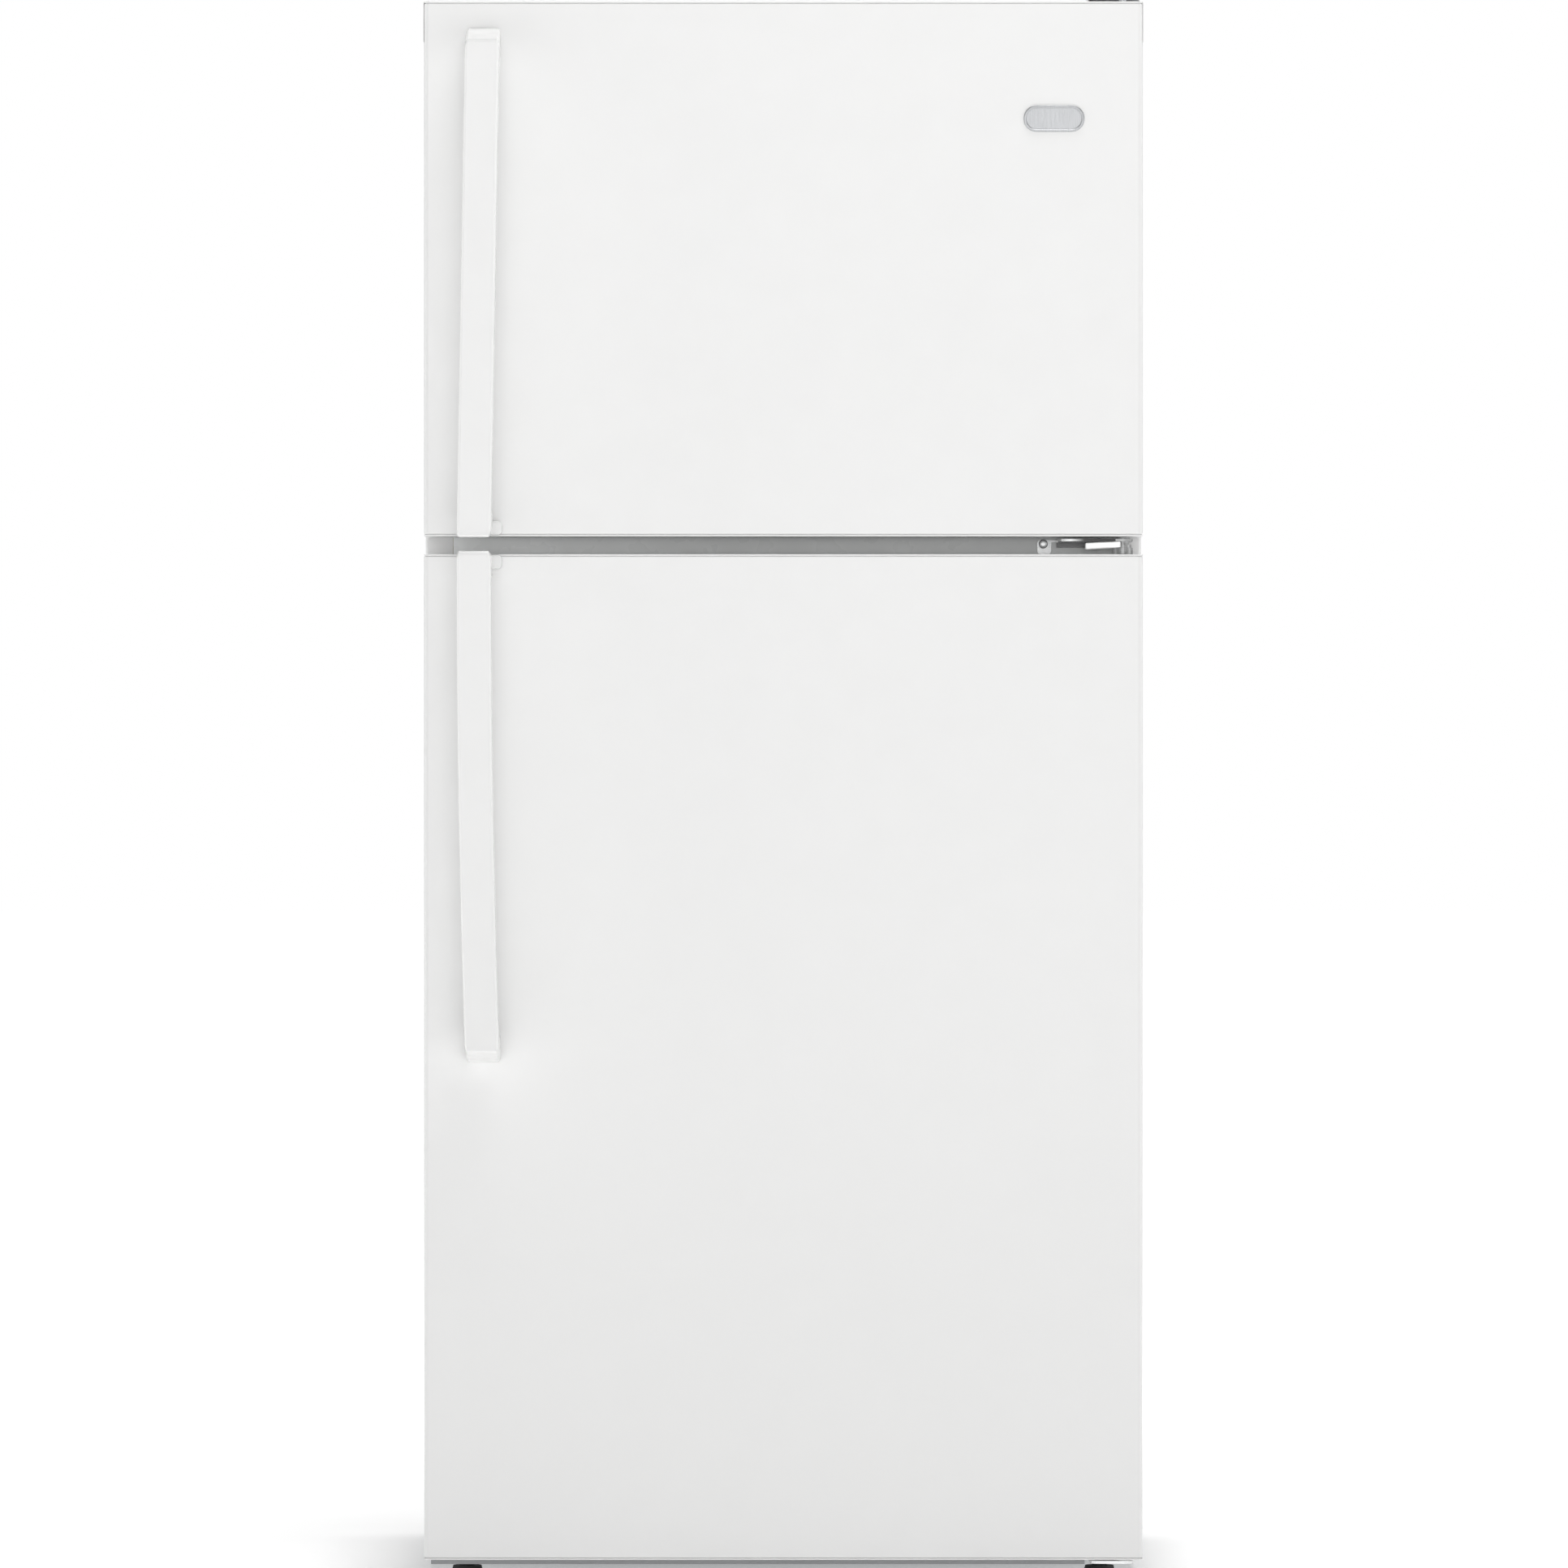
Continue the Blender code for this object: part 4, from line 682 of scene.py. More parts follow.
def plaque():
    """Oval-ended maker's plaque without lettering: a raised rim round a sunk, brushed field."""
    low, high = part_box("badge")
    bm = bmesh.new()
    rings = []
    steps = [(0.0, 0.0), (0.0, 0.55), (0.0006, 0.9), (0.0012, 1.0)]
    steps += [(0.0022, 1.0), (0.0030, 0.6), (0.0034, 0.55)]
    for inset, share in steps:
        corner_low, corner_high = (low.x + inset, low.z + inset), (high.x - inset, high.z - inset)
        outline = rounded_corners(corner_low, corner_high, PLAQUE_ROUND - inset, 10)
        y = high.y + (low.y - high.y) * share
        rings.append([bm.verts.new((x, y, z)) for x, z in outline])
    join_rings(bm, rings, capped=True)
    obj = new_mesh("plaque", bm, 30)
    return place_piece(obj, "freezer_door", "badge_silver", ["badge"])


def bin_ribs(node):
    """Raised bands across the cabinet side of a door bin."""
    low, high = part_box(node)
    boxes = []
    for share in (0.22, 0.34, 0.46):
        z = low.z + (high.z - low.z) * share
        boxes.append(((low.x + 0.012, high.y - 0.0004, z), (high.x - 0.012, high.y + 0.0012, z + 0.003)))
    return bands(f"{node}_ribs", boxes, BODY_OF[node], SLOT_OF[node])


def build_doors():
    for prefix in DOOR_BODIES:
        door_panel(prefix)
        bellows_gasket(prefix)
        swept_handle(prefix)
        refined(f"{prefix}_door_liner", 0.0012, 2, 35)
        for end in ("top", "bottom"):
            refined(f"{prefix}_door_{end}_cap", 0.0003, 2, 40)
    plaque()
    for node in ("freezer_bin_upper", "freezer_bin_lower", "fridge_bin_middle", "fridge_bin_lower"):
        refined(node, 0.0008, 2)
        bin_ribs(node)
    refined("dairy_lid", 0.0006, 2)


# ---- cabinet
FLANGE = 0.0287
LINER_THICK = 0.0015
LINER_RIM = 0.0138
LINER_CORNER = 0.010
STEP_FRONT = 0.150
STEP_TOP = 0.290
FRONT_PAST = 0.05


def case_wrap():
    """The steel wrap with its rolled front edges."""
    def outer_edge(mid):
        return mid.z > CASE_HIGH.z - 0.01 or (mid.y < 0 and abs(mid.x) > 0.1)

    wrap = block("case_wrap", CASE_LOW, CASE_HIGH, 0.0035, "YZX", outer_edge, 5)
    inside = block(
        "wrap_inside",
        (CASE_LOW.x + SHEET, CASE_LOW.y + SHEET, CASE_LOW.z - FRONT_PAST),
        (CASE_HIGH.x - SHEET, CASE_HIGH.y + FRONT_PAST, CASE_HIGH.z - SHEET),
        0.003,
        "XYZ",
        lambda mid: mid.z > CASE_LOW.z and mid.y < 0.2,
        4,
    )
    window = block(
        "wrap_window",
        (CASE_LOW.x + FLANGE, CASE_LOW.y - FRONT_PAST, CASE_LOW.z - FRONT_PAST),
        (CASE_HIGH.x - FLANGE, CASE_LOW.y + 0.01, CASE_HIGH.z - FLANGE),
    )
    carve(wrap, inside, window)
    return place_piece(shade(wrap), "cabinet", "white_enamel", ["outer_case"])


def cavity_liner(node, spaces, ledges):
    """Formed tub: a shell with well rounded corners, a flat rim and shelf ledges."""
    low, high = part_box(node)
    front = low.y
    tub = block(f"{node}_rim", (low.x, front, low.z), (high.x, front + LINER_THICK, high.z))
    for i, (near, far) in enumerate(spaces):
        outside = (near[0] - LINER_THICK, front, near[1] - LINER_THICK)
        shell = block(f"{node}_shell_{i}", outside, tuple(c + LINER_THICK for c in far))
        carve(tub, shell, operation="UNION")
    for i, (near, far) in enumerate(spaces):
        opening = (near[0], front - FRONT_PAST, near[1])
        space = block(f"{node}_space_{i}", opening, far, LINER_CORNER, "XYZ", lambda mid: mid.y > front, 5)
        carve(tub, space)
    for i, (ledge_low, ledge_high) in enumerate(ledges):
        ledge = block(f"{node}_ledge_{i}", ledge_low, ledge_high, 0.0025, "Y")
        carve(tub, ledge, operation="UNION")
    tub.name = f"{node}_tub"
    return place_piece(shade(tub, 32), "cabinet", "liner_plastic", [node])


def shelf_ledges(shelves, half, back):
    """Pairs of ledges under each shelf, reaching a little into the side walls."""
    boxes = []
    for shelf in shelves:
        low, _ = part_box(shelf)
        bottom, top = low.z - 0.008, low.z - LIFT
        for side in (-1, 1):
            x0, x1 = sorted((side * (half - 0.009), side * (half + LINER_THICK / 2)))
            boxes.append(((x0, low.y + 0.004, bottom), (x1, back, top)))
    return boxes


def liners():
    low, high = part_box("freezer_liner")
    half = high.x - LINER_RIM
    far = (half, high.y - LINER_THICK, high.z - LINER_RIM)
    cover_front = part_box("evaporator_cover")[0].y
    ledges = shelf_ledges(["freezer_shelf"], half, cover_front - 0.006)
    cavity_liner("freezer_liner", [((-half, low.z + LINER_RIM), far)], ledges)

    low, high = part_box("fridge_liner")
    back = high.y - LINER_THICK
    far = (half, back, high.z - LINER_RIM)
    spaces = [((-half, STEP_TOP), far)]
    spaces.append(((-half, low.z + LINER_RIM), (half, STEP_FRONT, STEP_TOP + 0.05)))
    ledges = shelf_ledges(["shelf_upper", "shelf_lower", "crisper_cover"], half, back - 0.012)
    cavity_liner("fridge_liner", spaces, ledges)


def back_sheet():
    """Rear sheet with pressed swages."""
    low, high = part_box("back_panel")
    sheet = refined("back_panel", 0.0002, 1)
    for i, share in enumerate((0.14, 0.38, 0.62, 0.86)):
        z = low.z + (high.z - low.z) * share
        near, far = (low.x + 0.06, high.y - 0.0006, z - 0.014), (high.x - 0.06, high.y + 0.02, z + 0.014)
        carve(sheet, block(f"swage_{i}", near, far, 0.0135, "Y", None, 6))
    return shade(sheet, 30)


def kick_grille():
    """Moulded strip in front of the air inlet: a rounded channel with three groups of four louvres."""
    low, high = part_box("base_grille")
    wall, face = 0.006, 0.003
    side, rim = 0.014, 0.0085  # plain border left and right, and above and below
    bar, half_slot = 0.0065, 0.0032
    strip = block("kick_grille", low, high, 0.0018, "XZ", lambda mid: mid.y < low.y + 0.001, 3)
    hollow = block(
        "grille_hollow",
        (low.x + wall, low.y + face, low.z + wall),
        (high.x - wall, high.y + FRONT_PAST, high.z - wall),
    )
    carve(strip, hollow)
    rows, columns = 4, 3
    pitch_x = (high.x - low.x - 2 * side) / columns
    pitch_z = (high.z - low.z - 2 * rim) / rows
    for row in range(rows):
        z = low.z + rim + (row + 0.5) * pitch_z
        for column in range(columns):
            x = low.x + side + (column + 0.5) * pitch_x
            slot_low = (x - pitch_x / 2 + bar, low.y - 0.01, z - half_slot)
            slot_high = (x + pitch_x / 2 - bar, low.y + face + 0.01, z + half_slot)
            carve(strip, block("louvre", slot_low, slot_high, 0.0030, "Y", None, 4))
    return place_piece(shade(strip), "cabinet", "grey_plastic", ["base_grille"])


BOLT_RIM = 0.88  # the head's share of the washer's radius
BOLT_DOME = ((1, 0.74), (0.97, 0.84), (0.88, 0.91), (0.60, 0.96), (0.25, 0.98))  # shares of its rim and depth
WASHER_EDGE, WASHER_TOP = 0.0009, 0.0012


def hinge_bolt():
    """Domed bolt head seated in a washer on the hinge's tongue, the washer dark with painted shade round the
    head.
    """
    low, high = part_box("centre_hinge_bolt")
    upright = facing_front((low.x + high.x) / 2, high.y, (low.z + high.z) / 2)
    seat, depth = (high.x - low.x) / 2, high.y - low.y
    rim = seat * BOLT_RIM
    bore = rim * 0.70
    dome = [(rim, WASHER_EDGE)] + [(rim * across, depth * up) for across, up in BOLT_DOME]
    head = lathe("bolt_head", dome, (0, 0), 48)
    head.data.transform(upright)
    place_piece(head, "cabinet", "galvanised", ["centre_hinge_bolt"], BOLT_ZINC)
    ring = [(bore, 0.0), (seat, 0.0), (seat, WASHER_EDGE), (seat * 0.95, WASHER_TOP), (bore, WASHER_TOP)]
    washer = lathe("bolt_washer", ring, (0, 0), 48, closed=True)
    washer.data.transform(upright)
    return place_piece(washer, "cabinet", "galvanised", look=WASHER_PAINTED_SHADE)


def cabinet_shell():
    case_wrap()
    liners()
    back_sheet()
    refined("mullion_rail", 0.0006, 3, look=rail_paint_with_painted_light())
    refined("base_frame", 0.0003, 1)
    kick_grille()
    refined("top_hinge", 0.0005, 2)
    refined("top_hinge_cover", 0.0008, 3)
    refined("centre_hinge", 0.0004, 2, look=CENTRE_STEEL)
    hinge_bolt()
    refined("centre_hinge_stop", 0.0005, 2, look=STOP_WHITE)
    refined("bottom_hinge", 0.0005, 2)


# ---- inside the cabinet
def wire_shelf():
    """Coated wires welded on a bent frame rod."""
    low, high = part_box("freezer_shelf")
    rod, wire = 0.0024, 0.0015
    middle = low.z + rod
    outline = rounded_corners((low.x + rod, low.y + rod), (high.x - rod, high.y - rod), 0.014, 6)
    frame_rod = [(x, y, middle) for x, y in outline]
    tubes("wire_shelf_frame", [frame_rod], rod, "cabinet", "shelf_wire", True, ["freezer_shelf"])
    count = 23
    top = high.z - wire
    paths = []
    for i in range(count):
        x = low.x + (i + 1) * (high.x - low.x) / (count + 1)
        paths.append([(x, low.y + 0.003, top), (x, high.y - 0.003, top)])
    tubes("wire_shelf_wires", paths, wire, "cabinet", "shelf_wire")
    stays = []
    for share in (0.3, 0.7):
        y = low.y + (high.y - low.y) * share
        stays.append([(low.x + 0.003, y, middle), (high.x - 0.003, y, middle)])
    tubes("wire_shelf_stays", stays, 0.0020, "cabinet", "shelf_wire")


def glass_shelf(node):
    """Tempered glass with a ground edge, in a moulded front trim."""
    low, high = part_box(node)
    refined(node, 0.0012, 3)
    trim_low = (low.x + 0.010, low.y - 0.0012, low.z - 0.0018)
    trim = block(f"{node}_trim", trim_low, (high.x - 0.010, low.y + 0.016, high.z + 0.0015))
    slot_low = (low.x, low.y - 0.0002, low.z - 0.0002)
    carve(trim, block(f"{node}_trim_slot", slot_low, (high.x, low.y + 0.05, high.z + 0.0002)))
    soften(trim, 0.0004, 2)
    return place_piece(trim, "cabinet", "liner_plastic")


def crisper_pan(node):
    """Clear pan with two raised lines across its front."""
    low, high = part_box(node)
    refined(node, 0.0006, 2)
    front = low.y + 0.006
    boxes = []
    for share in (0.30, 0.42):
        z = low.z + (high.z - low.z) * share
        boxes.append(((low.x + 0.02, front - 0.0010, z), (high.x - 0.02, front + 0.0005, z + 0.003)))
    return bands(f"{node}_lines", boxes, node, "clear_plastic")


def dial(node):
    """Control knob: a knurled skirt, a raised grip and a pointer line."""
    low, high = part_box(node)
    centre = Vector(((low.x + high.x) / 2, 0, (low.z + high.z) / 2))
    radius = (high.x - low.x) / 2
    back = low.y + 0.0120
    profile = [(0.0, 0.0), (0.62, 0.0), (0.80, 0.0008), (0.88, 0.0022), (0.94, 0.0026), (0.97, 0.0034)]
    profile += [(1.0, 0.0085), (0.98, 0.0090), (0.0, 0.0090)]
    bm = bmesh.new()
    sides = 96
    rings = []
    front = back - 0.0090
    for share, depth in profile[1:-1]:
        ring = []
        for i in range(sides):
            turn = 2 * math.pi * i / sides
            ridge = 0.985 if share > 0.9 and i % 4 < 2 else 1.0
            reach = radius * share * ridge
            place = (centre.x + reach * math.cos(turn), front + depth, centre.z + reach * math.sin(turn))
            ring.append(bm.verts.new(place))
        rings.append(ring)
    join_rings(bm, rings, capped=True)
    knob = new_mesh(f"{node}_dial", bm, 25)
    grip_low = (centre.x - 0.0028, low.y, centre.z - 0.0138)
    grip_high = (centre.x + 0.0028, front + 0.001, centre.z + 0.0138)
    grip = block(f"{node}_bar", grip_low, grip_high, 0.0014, "XYZ", lambda mid: mid.y < front)
    shaft = bmesh.new()
    round_bar(shaft, (centre.x, back + 0.004, centre.z), 0.004, 0.010, "Y", 24)
    carve(knob, grip, new_mesh(f"{node}_stem", shaft), operation="UNION")
    place_piece(shade(knob, 32), node, "grey_plastic", [node])
    line_low = (centre.x - 0.0005, low.y - 0.00005, centre.z + 0.004)
    line_high = (centre.x + 0.0005, low.y + 0.0004, centre.z + 0.0132)
    line = block(f"{node}_pointer", line_low, line_high, 0.0002, "Y")
    return place_piece(line, node, "white_trim")


def dial_ticks(node, housing_front):
    """Plain tick marks round a knob, printed on the housing."""
    low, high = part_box(node)
    x, z = (low.x + high.x) / 2, (low.z + high.z) / 2
    bm = bmesh.new()
    for i in range(10):
        turn = math.radians(225 - 30 * i)
        tick = add_box(bm, (0.0185, -0.0002, -0.0004), (0.0220, 0.0, 0.0004))
        place = Matrix.Translation((x, housing_front, z)) @ Matrix.Rotation(-turn, 4, "Y")
        bmesh.ops.transform(bm, matrix=place, verts=tick)
    ticks = new_mesh(f"{node}_ticks", bm)
    return place_piece(ticks, "cabinet", "grey_plastic", look=MARKS)


def controls():
    refined("control_housing", 0.0010, 3)
    housing_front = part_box("control_housing")[0].y
    for node in ("fridge_control_knob", "freezer_control_knob"):
        dial(node)
        dial_ticks(node, housing_front)
    refined("door_switch", 0.0010, 3)
    refined("lamp_lens", 0.0008, 2)
    low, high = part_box("lamp_lens")
    boxes = []
    for i in range(12):
        x = low.x + 0.014 + i * (high.x - low.x - 0.030) / 11
        boxes.append(((x, low.y + 0.010, low.z - 0.0008), (x + 0.003, high.y - 0.010, low.z + 0.0008)))
    bands("lamp_lens_ribs", boxes, "cabinet", "lamp_lens", 0.0005)


def fan_wheel(node, axis, blades=4):
    """Hub and pitched, cupped blades."""
    low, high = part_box(node)
    centre = (low + high) / 2
    along = "XYZ".index(axis)
    radius = max((high - low)[i] for i in range(3) if i != along) / 2
    depth = high[along] - low[along]
    bm = bmesh.new()
    round_bar(bm, (0, 0, 0), radius * 0.30, depth * 0.9, "Y", 40)
    hub = new_mesh(f"{node}_wheel", bm)
    soften(hub, radius * 0.04, 3)
    for i in range(blades):
        bm = bmesh.new()
        grid = []
        spans, chords = 8, 8
        for a in range(spans + 1):
            reach = radius * (0.24 + 0.74 * a / spans)
            row = []
            for b in range(chords + 1):
                share = b / chords - 0.5
                turn = share * math.radians(62)
                y = share * depth * 0.78 + 0.0014 * math.cos(math.pi * share)
                row.append(bm.verts.new((reach * math.cos(turn), y, reach * math.sin(turn))))
            grid.append(row)
        for first, second in zip(grid, grid[1:]):
            for b in range(chords):
                bm.faces.new((first[b], first[b + 1], second[b + 1], second[b]))
        turned = Matrix.Rotation(2 * math.pi * i / blades, 4, "Y")
        bmesh.ops.transform(bm, matrix=turned, verts=bm.verts)
        blade = new_mesh(f"{node}_blade_{i}", bm)
        thick = blade.modifiers.new("thick", "SOLIDIFY")
        thick.thickness = 0.0014
        thick.offset = 0
        applied(blade)
        carve(hub, blade, operation="UNION")
    if axis == "X":
        hub.data.transform(Matrix.Rotation(-math.pi / 2, 4, "Z"))
    hub.data.transform(Matrix.Translation(centre))
    return place_piece(shade(hub, 40), node, SLOT_OF[node], [node])


OUTLET_Z, OUTLET_RADIUS = 1.500, 0.055
OUTLET_ROWS, OUTLET_LOWEST, OUTLET_PITCH, OUTLET_SLOT = 7, -0.048, 0.0145, 0.008
RETURN_SLOTS, RETURN_FIRST, RETURN_PITCH, RETURN_WIDE = 12, -0.270, 0.046, 0.034
RETURN_LOW, RETURN_HIGH = 1.160, 1.172
# the bezel round the outlet: how far outside it, and how far proud of the panel
BEZEL = [(0.0030, 0.0003), (0.0034, 0.0022), (0.0042, 0.0030)]
BEZEL += [(0.0062, 0.0030), (0.0078, 0.0018), (0.0082, 0.0003)]


def evaporator_panel():
    """Panel across the back of the freezer: a round outlet of slots and a row of return slots."""
    low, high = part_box("evaporator_cover")
    holes = []
    for row in range(OUTLET_ROWS):
        z = OUTLET_Z + OUTLET_LOWEST + row * OUTLET_PITCH
        reach = math.sqrt(OUTLET_RADIUS**2 - (z + OUTLET_SLOT / 2 - OUTLET_Z) ** 2)
        holes.append(((-reach, z), (reach, z + OUTLET_SLOT)))
    for column in range(RETURN_SLOTS):
        x = RETURN_FIRST + column * RETURN_PITCH
        holes.append(((x, RETURN_LOW), (x + RETURN_WIDE, RETURN_HIGH)))
    panel = pierced("evaporator_panel", low, high, 0.010, holes, 0.0006)
    place_piece(panel, "cabinet", "liner_plastic", ["evaporator_cover"])
    profile = [(OUTLET_RADIUS + grow, out) for grow, out in BEZEL]
    bezel = lathe("outlet_bezel", profile, (0, 0), closed=True)
    bezel.data.transform(facing_front(0, low.y, OUTLET_Z))
    return place_piece(bezel, "cabinet", "liner_plastic")


def insides():
    evaporator_panel()
    wire_shelf()
    for node in ("shelf_upper", "shelf_lower", "crisper_cover"):
        glass_shelf(node)
    for node in ("crisper_left", "crisper_right"):
        crisper_pan(node)
    controls()
    refined("evaporator_coil", 0)
    refined("evaporator_fan_motor", 0.0010, 2)
    fan_wheel("evaporator_fan", "Y")


# ---- machine compartment
def lathe(name, profile, centre, sides=64, closed=False):
    """A solid of revolution about a vertical axis from (radius, height) points; closed makes a ring."""
    bm = bmesh.new()
    rings = []
    for radius, height in profile:
        ring = []
        for i in range(sides):
            turn = 2 * math.pi * i / sides
            place = (centre[0] + radius * math.cos(turn), centre[1] + radius * math.sin(turn), height)
            ring.append(bm.verts.new(place))
        rings.append(ring)
    join_rings(bm, rings + rings[:1] if closed else rings, capped=not closed)
    return new_mesh(name, bm, 40)


def compressor_shell():
    """Sealed steel pot on a pressed foot with rubber grommets."""
    low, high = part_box("compressor")
    x, y = (low.x + high.x) / 2, (low.y + high.y) / 2
    top, seam, bottom = high.z, low.z + 0.104, low.z + 0.017
    profile = []
    for i in range(10):
        turn = math.radians(4 + 86 * i / 9)
        profile.append((0.082 * math.sin(turn), seam + 0.012 + (top - seam - 0.012) * math.cos(turn)))
    profile += [(0.082, seam + 0.004), (0.0855, seam + 0.003), (0.086, seam), (0.0855, seam - 0.003)]
    profile += [(0.081, seam - 0.005)]
    belly = seam - 0.040
    for i in range(8):
        turn = math.radians(86 * i / 7)
        profile.append((0.0805 * math.cos(turn) + 0.002, belly - (belly - bottom) * math.sin(turn)))
    pot = lathe("compressor_pot", profile, (x, y))
    foot_low, foot_high = (low.x, y - 0.070, bottom - 0.011), (high.x, y + 0.070, bottom - 0.0005)
    carve(pot, block("pot_foot", foot_low, foot_high, 0.015, "Z", None, 5), operation="UNION")
    soften(pot, 0.0006, 2, 40)
    place_piece(pot, "cabinet", "black_enamel", ["compressor"])
    bm = bmesh.new()
    for dx in (-0.08, 0.08):
        for dy in (-0.055, 0.055):
            for z, radius in ((0.0420, 0.0100), (0.0455, 0.0085), (0.0485, 0.0100)):
                round_bar(bm, (x + dx, y + dy, z), radius, 0.0030, "Z", 24)
    grommets = new_mesh("compressor_grommets", bm)
    soften(grommets, 0.0006, 2)
    return place_piece(grommets, "cabinet", "black_rubber")


def condenser():
    """Serpentine tube in two layers, with stiffening wires across each."""
    low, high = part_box("condenser_coil")
    radius = 0.0040
    passes = 7
    rise = (high.z - low.z - 2 * radius) / (passes - 1)
    bend = rise / 2
    layers = (low.y + radius, high.y - radius)
    left, right = low.x + radius + bend, high.x - radius - bend
    path = []
    for layer, y in enumerate(layers):
        order = range(passes) if layer == 0 else range(passes - 1, -1, -1)
        for count, level in enumerate(order):
            z = low.z + radius + level * rise
            forward = (count + layer * passes) % 2 == 0
            ends = (left, right) if forward else (right, left)
            path += [(ends[0], y, z), (ends[1], y, z)]
            if count == passes - 1:
                continue
            step = 1 if layer == 0 else -1
            side = 1 if forward else -1
            for i in range(1, 8):
                turn = math.pi * i / 8
                x = ends[1] + side * bend * math.sin(turn)
                path.append((x, y, z + step * bend * (1 - math.cos(turn))))
    tubes("condenser_tube", [path], radius * 0.95, "cabinet", "black_enamel", nodes=["condenser_coil"])
    wires = []
    for y in layers:
        for side in (-1, 1):
            for i in range(28):
                x = left + (right - left) * i / 27
                wires.append([(x, y + side * 0.0032, low.z + 0.001), (x, y + side * 0.0032, high.z - 0.001)])
    tubes("condenser_wires", wires, 0.0007, "cabinet", "black_enamel")


VENT_WIDE, VENT_HIGH = 0.110, 0.009
VENT_COLUMNS = [-0.300 + i * 0.155 for i in range(4)]
VENT_ROWS = [0.120 + i * 0.024 for i in range(5)]
GLAND_BORE = 0.0078
SCREW_INSET = 0.012


def machine_room():
    compressor_shell()
    condenser()
    refined("condenser_fan_motor", 0.0010, 2)
    fan_wheel("condenser_fan", "X")
    refined("drain_pan", 0.0006, 2)
    low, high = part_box("machine_cover")
    vents = [((x, z), (x + VENT_WIDE, z + VENT_HIGH)) for x in VENT_COLUMNS for z in VENT_ROWS]
    gland_low, gland_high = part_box("cord_gland")
    middle = (gland_low + gland_high) / 2
    bore = [(middle.x + side * GLAND_BORE, middle.z + side * GLAND_BORE) for side in (-1, 1)]
    board = pierced("machine_board", low, high, 0.006, vents + [bore], 0.0005)
    place_piece(board, "cabinet", "fibreboard", ["machine_cover"])
    bm = bmesh.new()
    for x in (low.x + SCREW_INSET, 0.0, high.x - SCREW_INSET):
        for z in (low.z + SCREW_INSET, high.z - SCREW_INSET):
            round_bar(bm, (x, high.y + 0.0006, z), 0.0050, 0.0011, "Y", 28, 0.0038)
    heads = new_mesh("cover_screws", bm)
    soften(heads, 0.0002, 2)
    place_piece(heads, "cabinet", "galvanised")
    refined("cord_gland", 0.0005, 3)
    for side in ("left", "right"):
        refined(f"levelling_leg_{side}", 0.0006, 2)
        refined(f"roller_{side}", 0.0012, 3)


# ---- studio
VIEW_WIDE = 1.645  # width of the view at the plane of the door fronts
VIEW_HIGH = 0.840
VIEW_X = 0.0007
AWAY = 11.5
FLOOR_REACH = 60.0
GLOW_UNDER = 0.22  # the floor's own light under the object, near it and further out
GLOW_NEAR = 0.55
GLOW_FAR = 0.95
FOOTPRINT = (0.31, 0.27)
EDGE_REACH = 0.24  # how far beyond the footprint the near value is reached
FAR_REACH = (0.9, 2.6)  # where it starts to brighten again, and where it ends
FILL = 0.08
KEY_WATTS = 14
TOP_WATTS = 104
FRONT_WATTS = 440
LEFT_WATTS = 54
RIGHT_WATTS = 52
BACK_WATTS = 20
SENSOR = 36.0


def camera():
    data = bpy.data.cameras.new("studio_camera")
    data.sensor_width = SENSOR
    data.lens = SENSOR * AWAY / VIEW_WIDE
    data.clip_end = 100
    eye = bpy.data.objects.new("studio_camera", data)
    eye.location = (VIEW_X, DOOR_FRONT - AWAY, VIEW_HIGH)
    eye.rotation_euler = (math.pi / 2, 0, 0)
    show(eye)
    bpy.context.scene.camera = eye


def vector_step(tree, source, operation, *value, result="Vector"):
    step = new_node(tree, "VectorMath")
    step.operation = operation
    if value:
        step.inputs[1].default_value = value
    tree.links.new(source, step.inputs[0])
    return step.outputs[result]


def floor():
    """Pale floor that brightens to plain white away from the object."""
    bm = bmesh.new()
    reach = FLOOR_REACH
    corners = ((-reach, -reach), (reach, -reach), (reach, reach), (-reach, reach))
    bm.faces.new([bm.verts.new((x, y, 0.0)) for x, y in corners])
    mesh = bpy.data.meshes.new("studio_floor")
    bm.to_mesh(mesh)
    bm.free()
    ground = bpy.data.objects.new("studio_floor", mesh)
    show(ground)
    material, tree, shader = shader_of("floor_paper", (0.90, 0.90, 0.90), 0.9)
    set_inputs(shader, Emission_Color=(1, 1, 1, 1))
    apart = vector_step(tree, object_place(tree), "ABSOLUTE")
    beyond = vector_step(tree, apart, "SUBTRACT", *FOOTPRINT, 0.0)
    outside = vector_step(tree, beyond, "MAXIMUM", 0.0, 0.0, 0.0)
    away = vector_step(tree, outside, "LENGTH", result="Value")
    near = ramp(tree, away, 0.0, EDGE_REACH, GLOW_UNDER, GLOW_NEAR, True)
    far = ramp(tree, away, *FAR_REACH, 0.0, GLOW_FAR - GLOW_NEAR, True)
    tree.links.new(combined(tree, "ADD", near, far), shader.inputs["Emission Strength"])
    ground.data.materials.append(material)


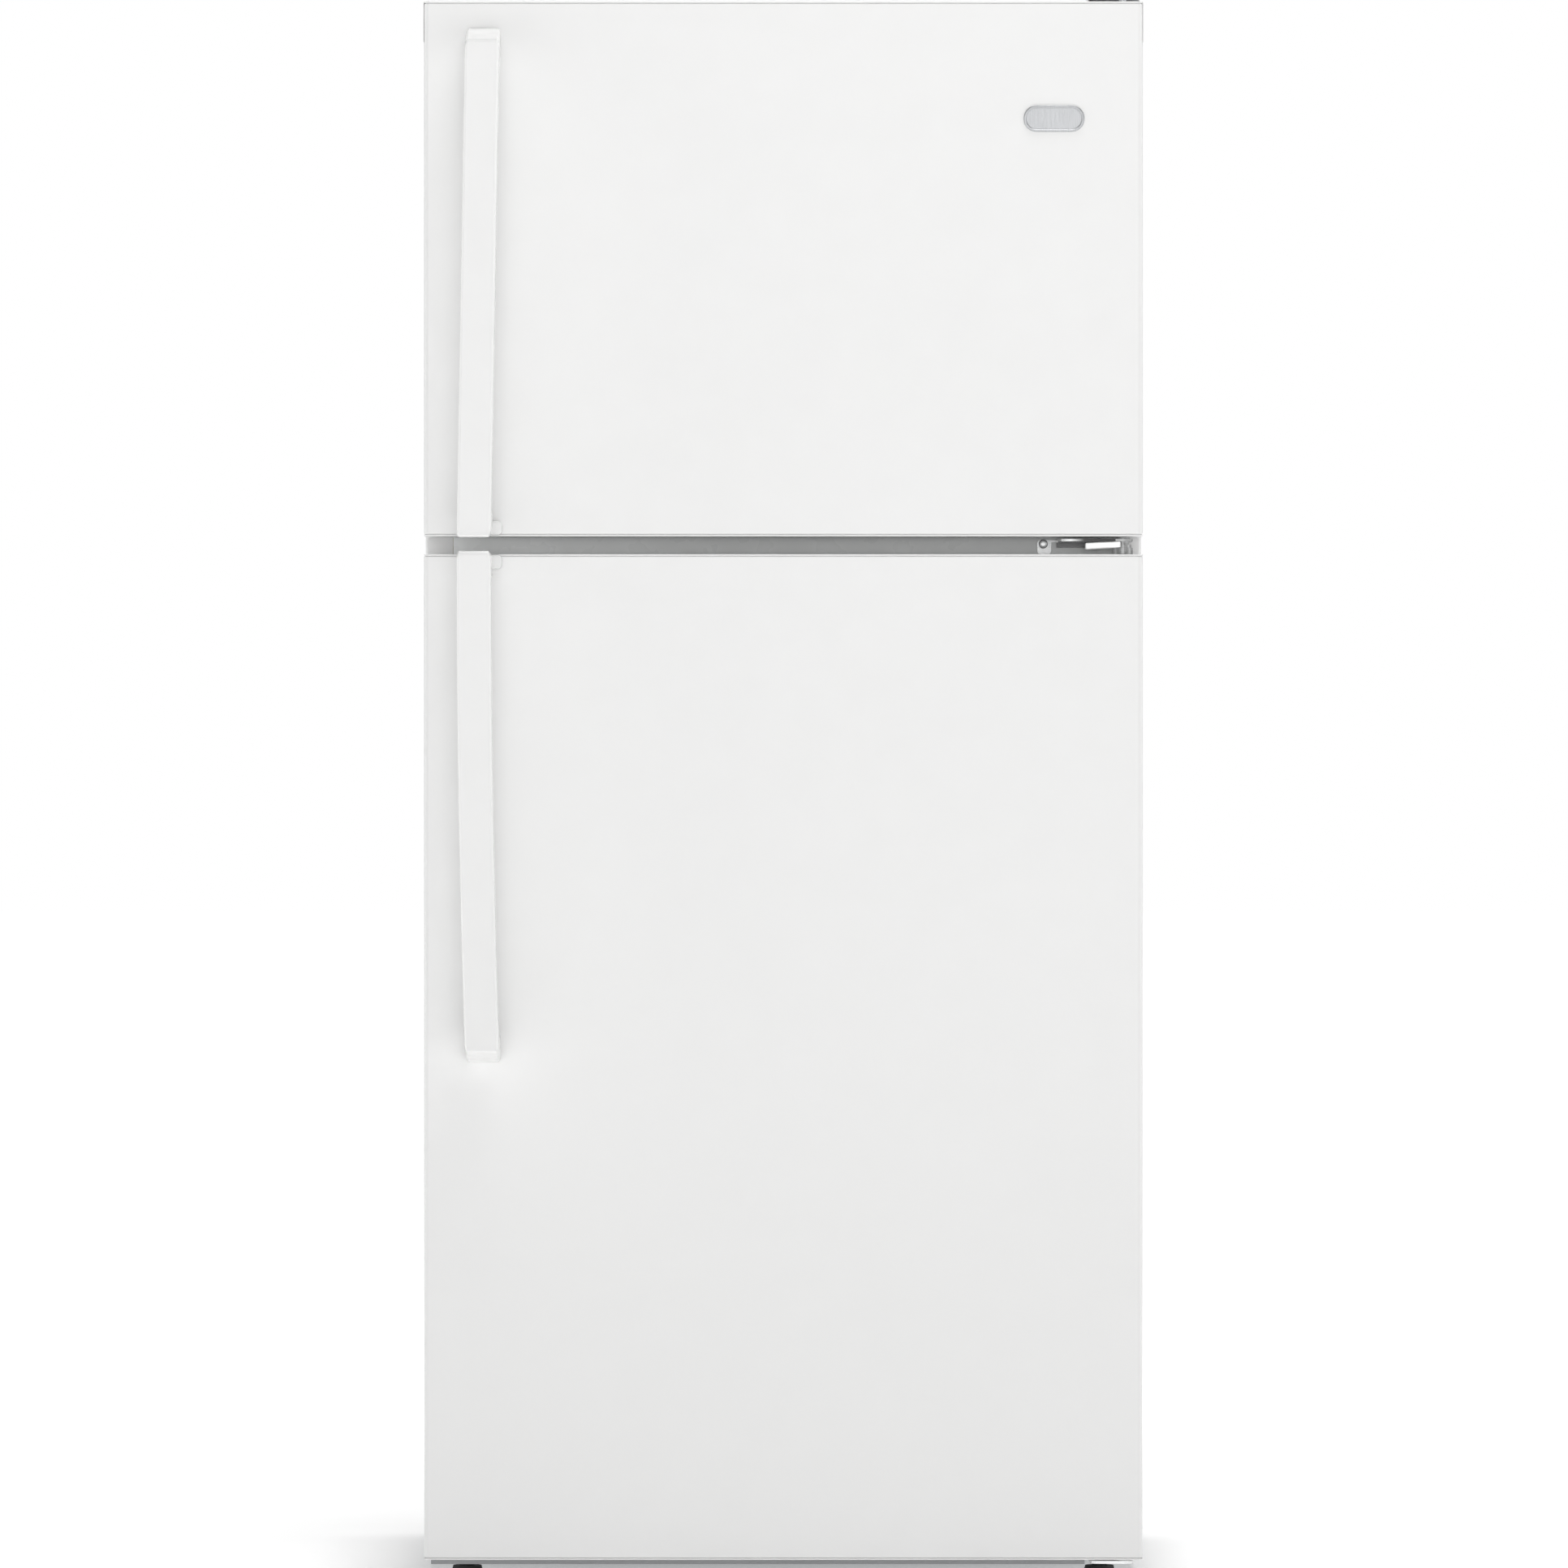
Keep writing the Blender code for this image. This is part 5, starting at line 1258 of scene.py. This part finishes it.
def light(name, place, aim, size, watts):
    data = bpy.data.lights.new(name, "AREA")
    data.shape = "RECTANGLE"
    data.size, data.size_y = size
    data.energy = watts
    lamp = bpy.data.objects.new(name, data)
    lamp.location = place
    lamp.rotation_euler = (Vector(aim) - Vector(place)).to_track_quat("-Z", "Y").to_euler()
    show(lamp)


def surroundings():
    """A world that looks plain white and lights the object more weakly than that."""
    world = bpy.data.worlds.new("studio")
    bpy.context.scene.world = world
    world.use_nodes = True
    tree = world.node_tree
    fill = tree.nodes["Background"]
    set_inputs(fill, Color=(1, 1, 1, 1), Strength=FILL)
    shown = new_node(tree, "Background", Color=(1, 1, 1, 1), Strength=1.0)
    path, mix = new_node(tree, "LightPath"), new_node(tree, "MixShader")
    tree.links.new(path.outputs["Is Camera Ray"], mix.inputs["Fac"])
    tree.links.new(fill.outputs["Background"], mix.inputs[1])
    tree.links.new(shown.outputs["Background"], mix.inputs[2])
    tree.links.new(mix.outputs["Shader"], tree.nodes["World Output"].inputs["Surface"])


def studio():
    camera()
    floor()
    surroundings()
    light("key", (1.1, -2.6, 4.2), (0, -0.2, 1.2), (3.0, 2.0), KEY_WATTS)
    light("top", (0.3, -0.3, 4.6), (0.0, -0.3, 0.0), (2.5, 2.0), TOP_WATTS)
    light("front", (0, -13.5, 1.6), (0, 0, 1.0), (8.0, 6.0), FRONT_WATTS)
    light("left", (-5.0, -0.6, 1.8), (0, -0.1, 0.9), (2.4, 3.6), LEFT_WATTS)
    light("right", (5.0, -0.6, 1.8), (0, -0.1, 0.9), (2.4, 3.6), RIGHT_WATTS)
    light("back", (-0.8, 5.5, 2.8), (0, 0.3, 0.7), (3.0, 3.0), BACK_WATTS)
    bpy.context.scene.view_settings.view_transform = "Standard"
    bpy.context.scene.view_settings.look = "None"


# ---- assembly
def finish_remaining():
    """Every CAD node still shown keeps its shape and takes its slot's material."""
    for name, obj in frame["nodes"].items():
        for slot in obj.material_slots:
            slot.material = LOOKS[SLOT_OF[name]]


studio()
finish_remaining()
build_doors()
cabinet_shell()
insides()
machine_room()
bpy.context.view_layer.update()
